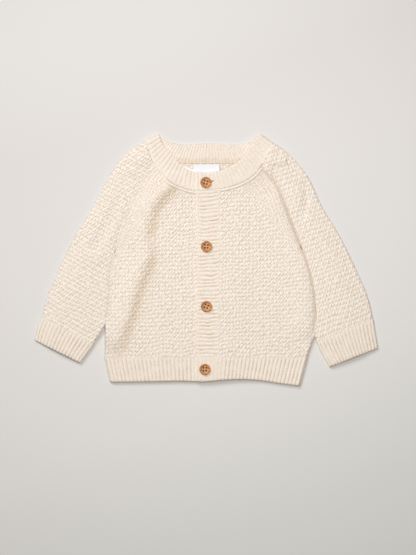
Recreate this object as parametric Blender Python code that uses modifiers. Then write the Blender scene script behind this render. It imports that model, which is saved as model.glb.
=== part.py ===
"""Knitted baby cardigan, laid flat on its back, modelled in millimetres and scaled to metres.

+X is the wearer's left, +Y runs from hem to neck and +Z is up. The origin lies under the middle of the
garment, on the surface it rests on. "right" and "left" are the wearer's sides, right at -X.
Every cloth piece is a closed wall: an upper face that may carry ribs, and a plain inner face below it.
"""

import math

import bmesh
import bpy
import numpy as np
from mathutils import Matrix

MM = 0.001
MIRROR = {"right": -1, "left": 1}

# --- cloth -------------------------------------------------------------------------------------------
WALL = 2.2  # moss-stitch cloth, through
RIB_VALLEY = 1.8  # rib cloth, through, between two ribs
RIB_RELIEF = 0.7  # how far a rib stands above its valley
UNDERLAP_WALL = 1.4  # stretched cloth of the hidden underlap
LABEL_WALL = 0.6
GAP = 0.3  # between two layers, and between two pieces at a seam
EDGE_ROLL = 3.0  # plan width over which a panel rolls down at a side
EDGE_ROUND = 1.5  # plan width of the softened rim of a rib
UNDERARM_CLEARANCE = 0.25  # more room between a sleeve and the body below the underarm

ROLL_DROP = 0.6  # share of the panel's height over which that roll is round; below it the side is upright
ROLL_UNDER = 0.3  # how far the foot of the roll is tucked in
RIM_DROP = 0.5  # how much lower the very rim of a rib lies

# --- heights of the underside of the upper layer -------------------------------------------------------
LAYER_1 = WALL + GAP  # it lies on the back
NECK_RISE = 0.9  # more at the neckband, which lies on the back neckband and the label
NECK_RISE_LENGTH = 16.0  # the cloth climbs over this length below the neckband
LAP_RISE = UNDERLAP_WALL + GAP  # more where the left front lies on the underlap
LAP_RISE_LENGTH = 60.0
SLEEVE_CROWN = 1.8  # how far a sleeve's middle stands above its edges
UNDERARM_LENGTH = 8.0  # over this length the square raglan edge turns into the rolled side
BOW_ROWS = 4  # rows of a sleeve over which the bow of the neck seam dies out

# --- front closure ---------------------------------------------------------------------------------------
BAND_FREE_X = -11.2  # free edge of the upper band
BAND_SEAM_X = 15.3  # where the upper band joins the left front
UNDERLAP_INSET = 1.5  # how far the underlap's ends stay back from the neckband's and the hem's edges
HEM_TOP_Y = -115.0
HEM_DEPTH = 28.0
RIDGE_PITCH = 4.6
BUTTONS = (  # x and y of each button's middle, neck to hem
    (-0.8, 91.2),
    (-0.1, 15.9),
    (-0.2, -54.6),
    (-1.9, -128.6),
)
BUTTON_PROFILE = (  # radius and height, from the middle of the face over the rim to the middle of the back
    (0.0, 1.6),
    (3.9, 1.6),
    (4.7, 2.4),
    (5.6, 2.6),
    (6.3, 2.1),
    (6.5, 1.3),
    (5.7, 0.2),
    (4.6, 0.0),
    (0.0, 0.0),
)
BUTTON_SIDES = 22
BUTTON_HOLE_RADIUS = 0.75
BUTTON_HOLE_OFFSET = 1.75  # each hole's middle from the button's, along x and along y

# --- rib pitches (one rib and one valley) ------------------------------------------------------------------
HEM_PITCH = 4.7
CUFF_PITCH = 4.7
NECK_FRONT_PITCH = 4.9
NECK_BACK_PITCH = 3.7
NECKBAND_DEPTH = 24.0
BACK_RIB_SHARE = 0.8  # relief of the back neckband's ribs, seen from inside, against the others

# --- plan outlines: x, y of the points that each edge passes through, hem or cuff end last -----------------
RAGLAN = {  # front raglan seam, neckband to underarm
    "right": (
        (-60.8, 112.1),
        (-69.0, 102.7),
        (-79.6, 85.5),
        (-87.9, 69.0),
        (-95.0, 51.9),
        (-106.8, 14.2),
    ),
    "left": ((63.7, 110.9), (70.2, 102.7), (83.4, 87.0), (91.4, 67.3), (99.1, 46.5), (110.3, 18.1)),
}
BACK_RAGLAN = {
    "right": ((-55.5, 121.3), (-70.2, 96.8), (-84.4, 64.9), (-106.8, 14.2)),
    "left": ((61.3, 120.3), (73.8, 96.8), (87.9, 64.9), (110.3, 18.1)),
}
BODY_SIDE = {  # underarm to hem rib
    "right": (
        (-106.8, 14.2),
        (-110.9, -2.4),
        (-113.3, -17.7),
        (-115.0, -47.2),
        (-118.8, -77.9),
        (-119.8, -115.0),
    ),
    "left": (
        (110.3, 18.1),
        (118.6, -3.5),
        (125.9, -34.8),
        (128.4, -63.3),
        (126.2, -89.9),
        (118.6, -115.0),
    ),
}
SLEEVE_INNER = {  # underarm to cuff
    "right": (
        (-106.8, 14.2),
        (-110.9, -2.4),
        (-113.3, -17.7),
        (-115.4, -47.2),
        (-120.6, -77.9),
        (-132.8, -99.1),
    ),
    "left": (
        (110.3, 18.1),
        (118.6, -3.5),
        (125.9, -34.8),
        (129.4, -63.3),
        (130.4, -80.2),
        (129.6, -96.8),
    ),
}
SLEEVE_OUTER = {  # the fold along the top of the arm, neckband to cuff
    "right": (
        (-71.4, 139.8),
        (-90.3, 129.2),
        (-103.2, 116.2),
        (-113.3, 100.3),
        (-135.7, 59.6),
        (-159.3, 18.9),
        (-181.1, -27.1),
        (-189.8, -49.6),
        (-193.5, -67.3),
    ),
    "left": (
        (78.5, 138.1),
        (91.4, 129.8),
        (106.8, 115.0),
        (117.4, 101.5),
        (135.1, 64.9),
        (157.5, 27.1),
        (176.4, -11.8),
        (191.8, -49.9),
        (196.0, -69.6),
    ),
}
CUFF_INNER = {
    "right": ((-132.8, -99.1), (-148.8, -121.1)),
    "left": ((129.6, -96.8), (136.3, -110.9), (144.9, -125.8)),
}
CUFF_OUTER = {
    "right": ((-193.5, -67.3), (-197.6, -77.9), (-202.0, -94.4)),
    "left": ((196.0, -69.6), (198.6, -87.3), (201.5, -103.8)),
}
HEM_SIDE = {  # rib top to rib bottom
    "right": ((-119.8, -115.0), (-113.2, -143.6)),
    "left": ((118.6, -115.0), (109.9, -148.0)),
}
HEM_BOTTOM = (
    (-113.2, -143.6),
    (-71.4, -143.1),
    (-31.3, -142.4),
    (-0.6, -142.9),
    (20.6, -140.9),
    (36.0, -140.3),
    (63.1, -141.6),
    (84.4, -144.8),
    (109.9, -148.0),
)
NECK_EDGE = (  # free inner edge of the front neckband, right shoulder to left shoulder
    (-56.0, 148.0),
    (-51.6, 136.4),
    (-46.3, 129.8),
    (-36.2, 120.2),
    (-31.0, 113.6),
    (-25.2, 108.3),
    (-17.5, 104.5),
    (-9.7, 103.1),
    (-0.8, 102.5),
    (13.6, 104.2),
    (24.2, 108.4),
    (35.5, 114.8),
    (44.6, 123.2),
    (50.6, 133.0),
    (56.6, 141.4),
    (64.3, 147.7),
)
NECK_SEAM = (  # where the front neckband is linked on
    (-71.4, 139.8),
    (-67.6, 127.0),
    (-60.8, 112.1),
    (-51.3, 99.6),
    (-37.2, 89.7),
    (-24.2, 84.6),
    (-11.2, 82.0),
    (0.6, 81.9),
    (15.3, 84.4),
    (40.1, 91.3),
    (53.3, 99.1),
    (63.7, 110.9),
    (71.8, 124.8),
    (78.5, 138.1),
)
BACK_NECK_EDGE = (
    (-56.0, 148.0),
    (-49.5, 141.4),
    (-40.7, 138.1),
    (4.1, 137.4),
    (48.2, 138.1),
    (57.2, 141.6),
    (64.3, 147.7),
)
BACK_NECK_SEAM = (
    (-71.4, 139.8),
    (-64.3, 129.6),
    (-49.0, 118.4),
    (-31.3, 114.6),
    (4.1, 113.6),
    (38.5, 114.6),
    (56.0, 118.2),
    (71.2, 127.3),
    (78.5, 138.1),
)
LABEL_TOP = ((-30.4, 112.6), (15.0, 113.0))
LABEL_LOW = ((-29.6, 98.6), (15.8, 99.0))

# --- the largest folds of the upper layer ------------------------------------------------------------------
# Each is a crest along a line, falling away over one width to its right (as seen along the line) and over
# another to its left. A trough has a negative height.
FOLDS = (
    {  # the long fold from the right raglan to the hem, steep on its inner side
        "line": (
            (-28.0, 97.5),
            (-43.7, 88.6),
            (-55.0, 80.3),
            (-65.6, 67.0),
            (-72.2, 49.2),
            (-74.4, 28.3),
            (-71.2, 8.4),
            (-75.2, -3.5),
            (-83.9, -26.7),
            (-92.9, -56.6),
            (-102.3, -86.1),
            (-110.5, -116.0),
        ),
        "height": 5.2,
        "right_width": 18.0,
        "left_width": 11.0,
    },
    {  # the trough down the right sleeve
        "line": ((-82.0, 106.0), (-97.7, 86.0), (-119.0, 40.0), (-137.5, 5.9)),
        "height": -1.3,
        "right_width": 8.0,
        "left_width": 8.0,
    },
    {  # the fullness along the left raglan and side
        "line": (
            (68.5, 84.3),
            (86.9, 55.5),
            (101.2, 20.1),
            (114.0, -21.2),
            (118.8, -64.9),
            (113.9, -101.2),
        ),
        "height": 2.2,
        "right_width": 16.0,
        "left_width": 9.0,
    },
    {  # the crease on the left sleeve's shoulder
        "line": ((119.8, 94.4), (113.9, 44.8)),
        "height": -1.2,
        "right_width": 6.0,
        "left_width": 6.0,
    },
    {  # the ruck on top of the left shoulder
        "line": ((70.5, 112.9), (96.2, 116.9)),
        "height": 1.8,
        "right_width": 7.0,
        "left_width": 8.0,
    },
)
FOLD_END_FADE = 14.0  # a fold fades out over this length past its line's ends

CREAM = (0.855, 0.760, 0.640)
WHITE = (0.93, 0.93, 0.93)
WOOD = (0.50, 0.24, 0.09)


# --- curves and surfaces -----------------------------------------------------------------------------------
def curve(points):
    """A smooth curve through the points, as a function of the share of its length, 0 to 1."""
    points = np.array(points, float)
    steps = np.linalg.norm(np.diff(points, axis=0), axis=1)
    knots = np.concatenate(([0.0], np.cumsum(steps))) / steps.sum()
    slopes = np.gradient(points, knots, axis=0)

    def at(share):
        share = np.atleast_1d(np.asarray(share, float))
        piece = np.clip(np.searchsorted(knots, share, side="right") - 1, 0, len(knots) - 2)
        width = (knots[piece + 1] - knots[piece])[:, None]
        t = (share - knots[piece])[:, None] / width
        start = (2 * t**3 - 3 * t**2 + 1) * points[piece] + (t**3 - 2 * t**2 + t) * width * slopes[piece]
        end = (3 * t**2 - 2 * t**3) * points[piece + 1] + (t**3 - t**2) * width * slopes[piece + 1]
        return start + end

    return at


def evenly(points, count):
    """count points on the smooth curve through the points."""
    return curve(points)(np.linspace(0, 1, count))


def across(line):
    """Unit plan vectors square to a line of points, on its left."""
    along = np.gradient(line, axis=0)
    along /= np.linalg.norm(along, axis=1)[:, None]
    return np.stack((-along[:, 1], along[:, 0]), axis=1)


def stretch(points, start_x, end_x, count, shift=0.0):
    """count points of the curve from one x to another, moved to its left by shift; x only grows along it."""
    shares = np.linspace(0, 1, 400)
    ends = np.interp((start_x, end_x), curve(points)(shares)[:, 0], shares)
    part = curve(points)(np.linspace(*ends, count))
    return part + across(part) * shift


def y_on(points, x):
    """y of the curve through the points at each x."""
    line = evenly(points, 400)
    return np.interp(x, line[:, 0], line[:, 1])


def length_of(line):
    return float(np.sum(np.linalg.norm(np.diff(line, axis=0), axis=1)))


def unit(vectors):
    return vectors / np.linalg.norm(vectors, axis=-1)[..., None]


def smooth_step(value):
    value = np.clip(value, 0, 1)
    return value * value * (3 - 2 * value)


def patch(bottom, top, left, right):
    """Plan grid between four edges; bottom and top run from left to right, left and right upwards."""
    u = np.linspace(0, 1, len(bottom))[None, :, None]
    v = np.linspace(0, 1, len(left))[:, None, None]
    between_ends = (1 - v) * bottom[None] + v * top[None]
    between_sides = (1 - u) * left[:, None] + u * right[:, None]
    low_corners = (1 - u) * bottom[0] + u * bottom[-1]
    high_corners = (1 - u) * top[0] + u * top[-1]
    return between_ends + between_sides - (1 - v) * low_corners - v * high_corners


# --- heights -----------------------------------------------------------------------------------------------
def place_by(line, plan):
    """Each plan point's distance to the left of a line of points, past its end, and the nearest point."""
    away = plan[..., None, :] - line
    distance = np.linalg.norm(away, axis=-1)
    nearest = np.argmin(distance, axis=-1)
    nearest_away = np.take_along_axis(away, nearest[..., None, None], axis=-2)[..., 0, :]
    side = np.sum(nearest_away * across(line)[nearest], axis=-1)
    beyond = np.sqrt(np.maximum(np.min(distance, axis=-1) ** 2 - side**2, 0))
    return side, beyond, nearest


def fold_height(plan):
    """What the folds add to the upper layer's height at each plan point."""
    total = np.zeros(plan.shape[:-1])
    for fold in FOLDS:
        line = evenly(fold["line"], 40)
        side, beyond, nearest = place_by(line, plan)
        width = np.where(side > 0, fold["left_width"], fold["right_width"])
        ends = smooth_step(np.minimum(nearest, len(line) - 1 - nearest) / 5)
        total += fold["height"] * ends * np.exp(-((side / width) ** 2) - (beyond / FOLD_END_FADE) ** 2)
    return total


def upper_layer(plan, lapped=False, crown=0.0):
    """Height of the underside of the upper layer, from the surface below, at each plan point."""
    past_neck_seam = place_by(evenly(NECK_SEAM, 80), plan)[0]
    height = LAYER_1 + NECK_RISE * (1 - smooth_step(-past_neck_seam / NECK_RISE_LENGTH))
    if lapped:
        height += LAP_RISE * (1 - smooth_step((plan[..., 0] - BAND_SEAM_X) / LAP_RISE_LENGTH))
    return height + np.maximum(fold_height(plan), -crown) + crown


# --- walls -------------------------------------------------------------------------------------------------
def with_height(plan, height):
    return np.concatenate((plan, np.broadcast_to(height, plan.shape[:-1])[..., None]), axis=-1)


def rolled_edge(edge, away, upper, amount, wall):
    """Outer and inner points of the columns that roll a panel's edge down to the surface below.

    upper is the height of the panel's upper face there. Where amount is 0 the edge is cut square.
    """
    outer, inner = [], []
    for flat_share, angle in ((0.25, 30), (0.5, 60), (0.75, 90)):
        turn = math.radians(angle)
        back = amount * EDGE_ROLL * (1 - math.sin(turn)) + (1 - amount) * EDGE_ROLL * (1 - flat_share)
        high = upper - amount * ROLL_DROP * upper * (1 - math.cos(turn))
        outer_plan = edge - away * back[:, None]
        outer.append(with_height(outer_plan, high))
        inner_plan = outer_plan - away * (amount * wall * math.sin(turn))[:, None]
        inner.append(with_height(inner_plan, high - wall * (1 - amount + amount * math.cos(turn))))
    outer.append(with_height(edge - away * (amount * ROLL_UNDER)[:, None], (1 - amount) * upper))
    inner.append(with_height(edge - away * (amount * wall)[:, None], (1 - amount) * (upper - wall)))
    return np.stack(outer, axis=1), np.stack(inner, axis=1)


def folded_edge(edge, away, upper, wall):
    """Outer and inner points of the columns that carry a tube from its upper to its lower layer."""
    outer, inner = [], []
    for angle in (60, 25, -10, -50):
        turn = math.radians(angle)
        outer_back = EDGE_ROLL * (1 - math.cos(turn))
        inner_back = EDGE_ROLL - (EDGE_ROLL - wall) * math.cos(turn)
        outer.append(with_height(edge - away * outer_back, upper / 2 * (1 + math.sin(turn))))
        inner.append(with_height(edge - away * inner_back, upper / 2 + (upper / 2 - wall) * math.sin(turn)))
    return np.stack(outer, axis=1), np.stack(inner, axis=1)


def rib_columns(length, pitch):
    """Shares of the length and relief of the columns of a 1x1 rib: a valley line and a flat-topped rib."""
    count = round(length / pitch)
    places = [(rib + offset) / count for rib in range(count) for offset in (0.0, 0.28, 0.72)] + [1.0]
    relief = [0.0, RIB_RELIEF, RIB_RELIEF] * count + [0.0]
    return np.array(places), np.array(relief)


def add_object(name, mesh, colour, roughness=0.95):
    material = bpy.data.materials.new(name)
    material.use_nodes = True
    shader = material.node_tree.nodes["Principled BSDF"]
    shader.inputs["Base Color"].default_value = (*colour, 1.0)
    shader.inputs["Roughness"].default_value = roughness
    mesh.materials.clear()
    mesh.materials.append(material)
    piece = bpy.data.objects.new(name, mesh)
    cardigan.objects.link(piece)
    return piece


def closed_wall(name, outer, inner, colour=CREAM):
    """One closed solid between an outer and an inner grid of points of the same size, in millimetres."""
    rows, columns = outer.shape[:2]
    points = np.concatenate((outer.reshape(-1, 3), inner.reshape(-1, 3))) * MM
    number = np.arange(rows * columns).reshape(rows, columns)
    corners = (number[:-1, :-1], number[:-1, 1:], number[1:, 1:], number[1:, :-1])
    upper = np.stack(corners, axis=-1).reshape(-1, 4)
    lower = upper[:, ::-1] + rows * columns
    rim = np.concatenate((number[0, :-1], number[:-1, -1], number[-1, :0:-1], number[:0:-1, 0]))
    after = np.roll(rim, -1)
    sides = np.stack((after, rim, rim + rows * columns, after + rows * columns), axis=1)
    mesh = bpy.data.meshes.new(name)
    mesh.from_pydata(points.tolist(), [], np.concatenate((upper, lower, sides)).tolist())
    shaping = bmesh.new()
    shaping.from_mesh(mesh)
    bmesh.ops.recalc_face_normals(shaping, faces=shaping.faces)
    shaping.to_mesh(mesh)
    shaping.free()
    return add_object(name, mesh, colour)


# --- body --------------------------------------------------------------------------------------------------
def body_edge(side, raglan, inset):
    """A body panel's edge from the hem rib up its side and raglan, the way out of it, and how far it rolls.

    The edge stands in from the seam by half a gap, and by inset more below the underarm.
    """
    below = evenly(BODY_SIDE[side], 12)[::-1]
    line = np.concatenate((below, evenly(raglan[side], 9)[::-1][1:]))
    underarm = below[-1, 1]
    amount = smooth_step((underarm - line[:, 1]) / UNDERARM_LENGTH)
    square = across(line) * -MIRROR[side]
    level = np.array((MIRROR[side], 0.0))
    away = unit((1 - amount)[:, None] * square + amount[:, None] * level)
    moved = GAP / 2 + inset * smooth_step((underarm + UNDERARM_LENGTH - line[:, 1]) / UNDERARM_LENGTH)
    line = line - away * moved[:, None]
    line[0, 1] = HEM_TOP_Y + GAP / 2
    line[-1] += unit(line[-2] - line[-1]) * GAP
    return line, away, amount


def front(side):
    """A front from its centre edge to its raglan and side, which rolls down to the surface."""
    lapped = side == "left"
    centre_x = BAND_SEAM_X + GAP / 2 if lapped else BAND_FREE_X - GAP / 2
    edge, away, amount = body_edge(side, RAGLAN, 0.0)
    panel_edge = edge - away * EDGE_ROLL
    columns = 16
    neck = stretch(NECK_SEAM, centre_x, panel_edge[-1, 0], columns, -GAP * MIRROR[side])
    panel_edge[-1] = neck[-1]
    away[-1] = unit(edge[-1] - panel_edge[-1])
    centre = np.linspace((centre_x, HEM_TOP_Y + GAP / 2), neck[0], len(edge))
    plan = patch(np.linspace(centre[0], panel_edge[0], columns), neck, centre, panel_edge)
    under = upper_layer(plan, lapped)
    roll_outer, roll_inner = rolled_edge(edge, away, under[:, -1] + WALL, amount, WALL)
    outer = np.concatenate((with_height(plan, under + WALL), roll_outer), axis=1)
    inner = np.concatenate((with_height(plan, under), roll_inner), axis=1)
    closed_wall(f"front_{side}", outer, inner)


def back():
    """The back, flat on the surface, inside the rolled sides of the fronts."""
    right = body_edge("right", BACK_RAGLAN, WALL + GAP)[0]
    left = body_edge("left", BACK_RAGLAN, WALL + GAP)[0]
    columns = 14
    top = stretch(BACK_NECK_SEAM, right[-1, 0], left[-1, 0], columns, -GAP)
    right[-1], left[-1] = top[0], top[-1]
    plan = patch(np.linspace(right[0], left[0], columns), top, right, left)
    closed_wall("back_panel", with_height(plan, WALL), with_height(plan, 0.0))


def hem_front(side):
    """Ribbed hem of one front; the left one reaches across the closure to the free edge."""
    lapped = side == "left"
    centre_x = BAND_FREE_X + MIRROR[side] * GAP / 2
    heights = np.array((0.0, EDGE_ROUND / HEM_DEPTH, 1.0))
    away = np.tile((float(MIRROR[side]), 0.0), (len(heights), 1))
    edge = curve(HEM_SIDE[side][::-1])(heights) - away * (GAP / 2)
    panel_edge = edge - away * EDGE_ROLL
    places, relief = rib_columns(abs(panel_edge[-1, 0] - centre_x), HEM_PITCH)
    low_x = centre_x + places * (panel_edge[0, 0] - centre_x)
    top_x = centre_x + places * (panel_edge[-1, 0] - centre_x)
    low = np.stack((low_x, y_on(HEM_BOTTOM, low_x)), axis=1)
    top = np.stack((top_x, np.full(len(top_x), HEM_TOP_Y - GAP / 2)), axis=1)
    plan = low + heights[:, None, None] * (top - low)
    edge[:, 1] = plan[:, -1, 1]
    under = upper_layer(plan, lapped)
    rim = np.array((-RIM_DROP, 0.0, 0.0))
    upper = under + RIB_VALLEY + relief + rim[:, None]
    roll_from = under[:, -1] + RIB_VALLEY + rim
    roll_outer, roll_inner = rolled_edge(edge, away, roll_from, np.ones(len(edge)), RIB_VALLEY)
    outer = np.concatenate((with_height(plan, upper), roll_outer), axis=1)
    inner = np.concatenate((with_height(plan, under), roll_inner), axis=1)
    closed_wall(f"hem_front_{side}", outer, inner)


def hem_back():
    """Back hem rib: its ribbed face rests on the surface, so it is flat."""
    columns = 12
    inset = RIB_VALLEY + 1.5 * GAP
    low_x = np.linspace(HEM_SIDE["right"][-1][0] + inset, HEM_SIDE["left"][-1][0] - inset, columns)
    top_x = np.linspace(HEM_SIDE["right"][0][0] + inset, HEM_SIDE["left"][0][0] - inset, columns)
    low = np.stack((low_x, y_on(HEM_BOTTOM, low_x)), axis=1)
    top = np.stack((top_x, np.full(columns, HEM_TOP_Y - GAP / 2)), axis=1)
    plan = np.stack((low, top))
    closed_wall("hem_back", with_height(plan, RIB_VALLEY), with_height(plan, 0.0))


# --- sleeves -----------------------------------------------------------------------------------------------
def tube(name, edge, outer_line, ends, lower_edge, amount, wall, crown, places, relief, rim):
    """A flattened sleeve or cuff: upper layer, fold along the outside, and lower layer.

    Rows run down the arm, and columns from the inner edge, which rolls down, across the upper layer, round
    the fold and back along the surface. ends holds the upper and lower layers' first rows in plan, from the
    fold inwards, where they aren't straight.
    """
    inward = unit(edge - outer_line)
    panel_inner, panel_outer = edge - inward * EDGE_ROLL, outer_line + inward * EDGE_ROLL
    plan = panel_inner[:, None] + places[:, None] * (panel_outer - panel_inner)[:, None]
    shares = np.linspace(0, 1, 5)
    lower = panel_outer[:, None] + shares[:, None] * (lower_edge - panel_outer)[:, None]
    if ends:
        plan, lower = follow(plan, ends[0]), follow(lower, ends[1])
    under = upper_layer(plan, crown=crown * 4 * places * (1 - places))
    upper = under + wall + relief + rim[:, None]
    roll_from = upper[:, 0] - relief[0]
    fold_from = upper[:, -1] - relief[-1]
    roll_outer, roll_inner = rolled_edge(edge, inward, roll_from, amount, wall)
    fold_outer, fold_inner = folded_edge(outer_line, -inward, fold_from, wall)
    outer = (roll_outer[:, ::-1], with_height(plan, upper), fold_outer, with_height(lower, 0.0))
    inner = (roll_inner[:, ::-1], with_height(plan, under), fold_inner, with_height(lower, wall))
    closed_wall(name, np.concatenate(outer, axis=1), np.concatenate(inner, axis=1))


def follow(plan, first_row):
    """The grid with its first row laid along a line, and the next rows following it less and less."""
    bow = first_row - plan[0]
    fade = 1 - smooth_step(np.arange(len(plan)) / BOW_ROWS)
    return plan + fade[:, None, None] * bow


def sleeve(side):
    """A sleeve; its inner edge is cut square along the raglan and rolls down to close it below."""
    raglan, below = evenly(RAGLAN[side], 9), evenly(SLEEVE_INNER[side], 10)
    inner_line = np.concatenate((raglan, below[1:]))
    lower_line = np.concatenate((evenly(BACK_RAGLAN[side], 9), below[1:]))
    outer_line = evenly(SLEEVE_OUTER[side], len(inner_line))
    underarm = below[0, 1]
    amount = smooth_step((underarm - inner_line[:, 1]) / UNDERARM_LENGTH)
    tucked = smooth_step((underarm + UNDERARM_LENGTH - lower_line[:, 1]) / UNDERARM_LENGTH)
    towards_body = across(inner_line) * -MIRROR[side]
    edge = inner_line - towards_body * (GAP / 2 + UNDERARM_CLEARANCE * amount)[:, None]
    lower_clear = GAP / 2 + tucked * (WALL + GAP + UNDERARM_CLEARANCE)
    lower_edge = lower_line - unit(edge - outer_line) * lower_clear[:, None]
    columns = 9
    places = np.linspace(0, 1, columns)
    shift = 1.5 * GAP * -MIRROR[side]
    neck = stretch(NECK_SEAM, raglan[0, 0], outer_line[0, 0], 60, shift)
    back_neck = stretch(BACK_NECK_SEAM, outer_line[0, 0], lower_line[0, 0], 60, -shift)
    edge[0], outer_line[0], lower_edge[0] = neck[0], neck[-1], back_neck[-1]
    roll = EDGE_ROLL / length_of(neck)
    upper_end = curve(neck)(roll + (1 - 2 * roll) * places)
    lower_end = evenly(back_neck, 5)
    lower_end[0] = upper_end[-1]
    no_relief, no_rim = np.zeros(columns), np.zeros(len(edge))
    tube(
        f"sleeve_{side}",
        edge,
        outer_line,
        (upper_end, lower_end),
        lower_edge,
        amount,
        WALL,
        SLEEVE_CROWN,
        places,
        no_relief,
        no_rim,
    )


def cuff(side):
    """A cuff: the end of the sleeve's tube in rib, with its ribs on the upper layer."""
    shares = np.array((0.0, 1 - EDGE_ROUND / HEM_DEPTH, 1.0))
    inner_line, outer_line = curve(CUFF_INNER[side])(shares), curve(CUFF_OUTER[side])(shares)
    along = unit(inner_line[-1] - inner_line[0])
    inner_line[0] += along * GAP
    outer_line[0] += along * GAP
    inward = unit(inner_line - outer_line)
    edge = inner_line - inward * (GAP / 2 + UNDERARM_CLEARANCE)
    lower_edge = edge - inward * (WALL + GAP)
    width = np.linalg.norm(edge[1] - outer_line[1]) - 2 * EDGE_ROLL
    places, relief = rib_columns(width, CUFF_PITCH)
    rim = np.array((0.0, 0.0, -RIM_DROP))
    amount = np.ones(len(edge))
    crown = SLEEVE_CROWN / 2
    tube(f"cuff_{side}", edge, outer_line, None, lower_edge, amount, RIB_VALLEY, crown, places, relief, rim)


# --- neckband, front bands, label and buttons --------------------------------------------------------------
def neckband_front(side):
    """One half of the front neckband, rolled down at the shoulder over the end of the back neckband."""
    lapped = side == "left"
    centre_x = BAND_FREE_X + MIRROR[side] * GAP / 2
    free_end, seam_end = (NECK_EDGE[-1], NECK_SEAM[-1]) if lapped else (NECK_EDGE[0], NECK_SEAM[0])
    free_line = stretch(NECK_EDGE, centre_x, free_end[0], 60)
    seam_line = stretch(NECK_SEAM, centre_x, seam_end[0], 60)
    length = length_of((free_line + seam_line) / 2)
    places, relief = rib_columns(length - EDGE_ROLL, NECK_FRONT_PITCH)
    stop = 1 - EDGE_ROLL / length
    free, seam = curve(free_line)(places * stop), curve(seam_line)(places * stop)
    heights = np.array((0.0, EDGE_ROUND / NECKBAND_DEPTH, 1.0))
    plan = free + heights[:, None, None] * (seam - free)
    tip = free_line[-1] + heights[:, None] * (seam_line[-1] - free_line[-1])
    away = unit(tip - plan[:, -1])
    under = upper_layer(plan, lapped)
    rim = np.array((-RIM_DROP, 0.0, 0.0))
    upper = under + RIB_VALLEY + relief + rim[:, None]
    roll_from = under[:, -1] + RIB_VALLEY + rim
    roll_outer, roll_inner = rolled_edge(tip, away, roll_from, np.ones(len(tip)), RIB_VALLEY)
    outer = np.concatenate((with_height(plan, upper), roll_outer), axis=1)
    inner = np.concatenate((with_height(plan, under), roll_inner), axis=1)
    closed_wall(f"neckband_{side}", outer, inner)


def neckband_back():
    """Back neckband, flat on the surface with its ribs up, between the rolled ends of the front one."""
    free_line, seam_line = evenly(BACK_NECK_EDGE, 60), evenly(BACK_NECK_SEAM, 60)
    length = length_of((free_line + seam_line) / 2)
    clear = (RIB_VALLEY + 2 * GAP) / length
    places, relief = rib_columns(length, NECK_BACK_PITCH)
    places = clear + places * (1 - 2 * clear)
    plan = np.stack((curve(free_line)(places), curve(seam_line)(places)))
    upper = RIB_VALLEY + relief * BACK_RIB_SHARE
    closed_wall("neckband_back", with_height(plan, upper), with_height(plan, 0.0))


def buttonhole_band():
    """Upper front band, with its ridges running across it."""
    left_x, right_x = BAND_FREE_X + GAP / 2, BAND_SEAM_X - GAP / 2
    x = np.array((left_x, left_x + EDGE_ROUND, (left_x + right_x) / 2, right_x))
    places, relief = rib_columns(y_on(NECK_SEAM, BAND_FREE_X) - HEM_TOP_Y, RIDGE_PITCH)
    low = np.stack((x, np.full(len(x), HEM_TOP_Y + GAP / 2)), axis=1)
    top = np.stack((x, y_on(NECK_SEAM, x) - 1.5 * GAP), axis=1)
    plan = low + places[:, None, None] * (top - low)
    under = upper_layer(plan, lapped=True)
    rim = np.array((-RIM_DROP, 0.0, 0.0, 0.0))
    upper = under + RIB_VALLEY + relief[:, None] + rim
    closed_wall("buttonhole_band", with_height(plan, upper), with_height(plan, under))


def button_band():
    """Plain underlap that the buttons are sewn to, hidden under the upper band from neck to hem."""
    x = np.linspace(BAND_FREE_X + GAP / 2, BAND_SEAM_X - GAP, 4)
    top = np.stack((x, y_on(NECK_EDGE, x) - UNDERLAP_INSET), axis=1)
    low = np.stack((x, y_on(HEM_BOTTOM, x) + UNDERLAP_INSET), axis=1)
    plan = low + np.linspace(0, 1, 20)[:, None, None] * (top - low)
    under = upper_layer(plan)
    closed_wall("button_band", with_height(plan, under + UNDERLAP_WALL), with_height(plan, under))


def neck_label():
    """Blank woven label under the back neckband; its lower end goes under the front neckband."""
    top, low = np.linspace(*LABEL_TOP, 6), np.linspace(*LABEL_LOW, 6)
    plan = low + np.linspace(0, 1, 4)[:, None, None] * (top - low)
    closed_wall("neck_label", with_height(plan, LAYER_1 + LABEL_WALL), with_height(plan, LAYER_1), WHITE)


def button_mesh():
    """A turned wooden button with a raised rim round a dished middle, and four holes."""
    outline = bpy.data.meshes.new("button_profile")
    edges = [(index, index + 1) for index in range(len(BUTTON_PROFILE) - 1)]
    outline.from_pydata([(radius * MM, 0.0, height * MM) for radius, height in BUTTON_PROFILE], edges, [])
    blank = bpy.data.objects.new("button_blank", outline)
    cutters.objects.link(blank)
    turn = blank.modifiers.new("turn", "SCREW")
    turn.steps = turn.render_steps = BUTTON_SIDES
    turn.use_merge_vertices = True
    turn.merge_threshold = 0.00005
    for index in range(4):
        angle = math.radians(45 + 90 * index)
        reach = BUTTON_HOLE_OFFSET * math.sqrt(2) * MM
        place = (reach * math.cos(angle), reach * math.sin(angle), 0.0)
        radius = BUTTON_HOLE_RADIUS * MM
        bpy.ops.mesh.primitive_cylinder_add(vertices=6, radius=radius, depth=8 * MM, location=place)
        drill = bpy.context.active_object
        for owner in list(drill.users_collection):
            owner.objects.unlink(drill)
        cutters.objects.link(drill)
        drill.hide_render = True
        drill.display_type = "WIRE"
        cut = blank.modifiers.new(f"hole_{index}", "BOOLEAN")
        cut.object = drill
        cut.operation = "DIFFERENCE"
    drilled = bpy.data.meshes.new_from_object(blank.evaluated_get(bpy.context.evaluated_depsgraph_get()))
    bpy.data.objects.remove(blank)
    drilled.shade_smooth()
    drilled.set_sharp_from_angle(angle=math.radians(35))
    return drilled


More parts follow.
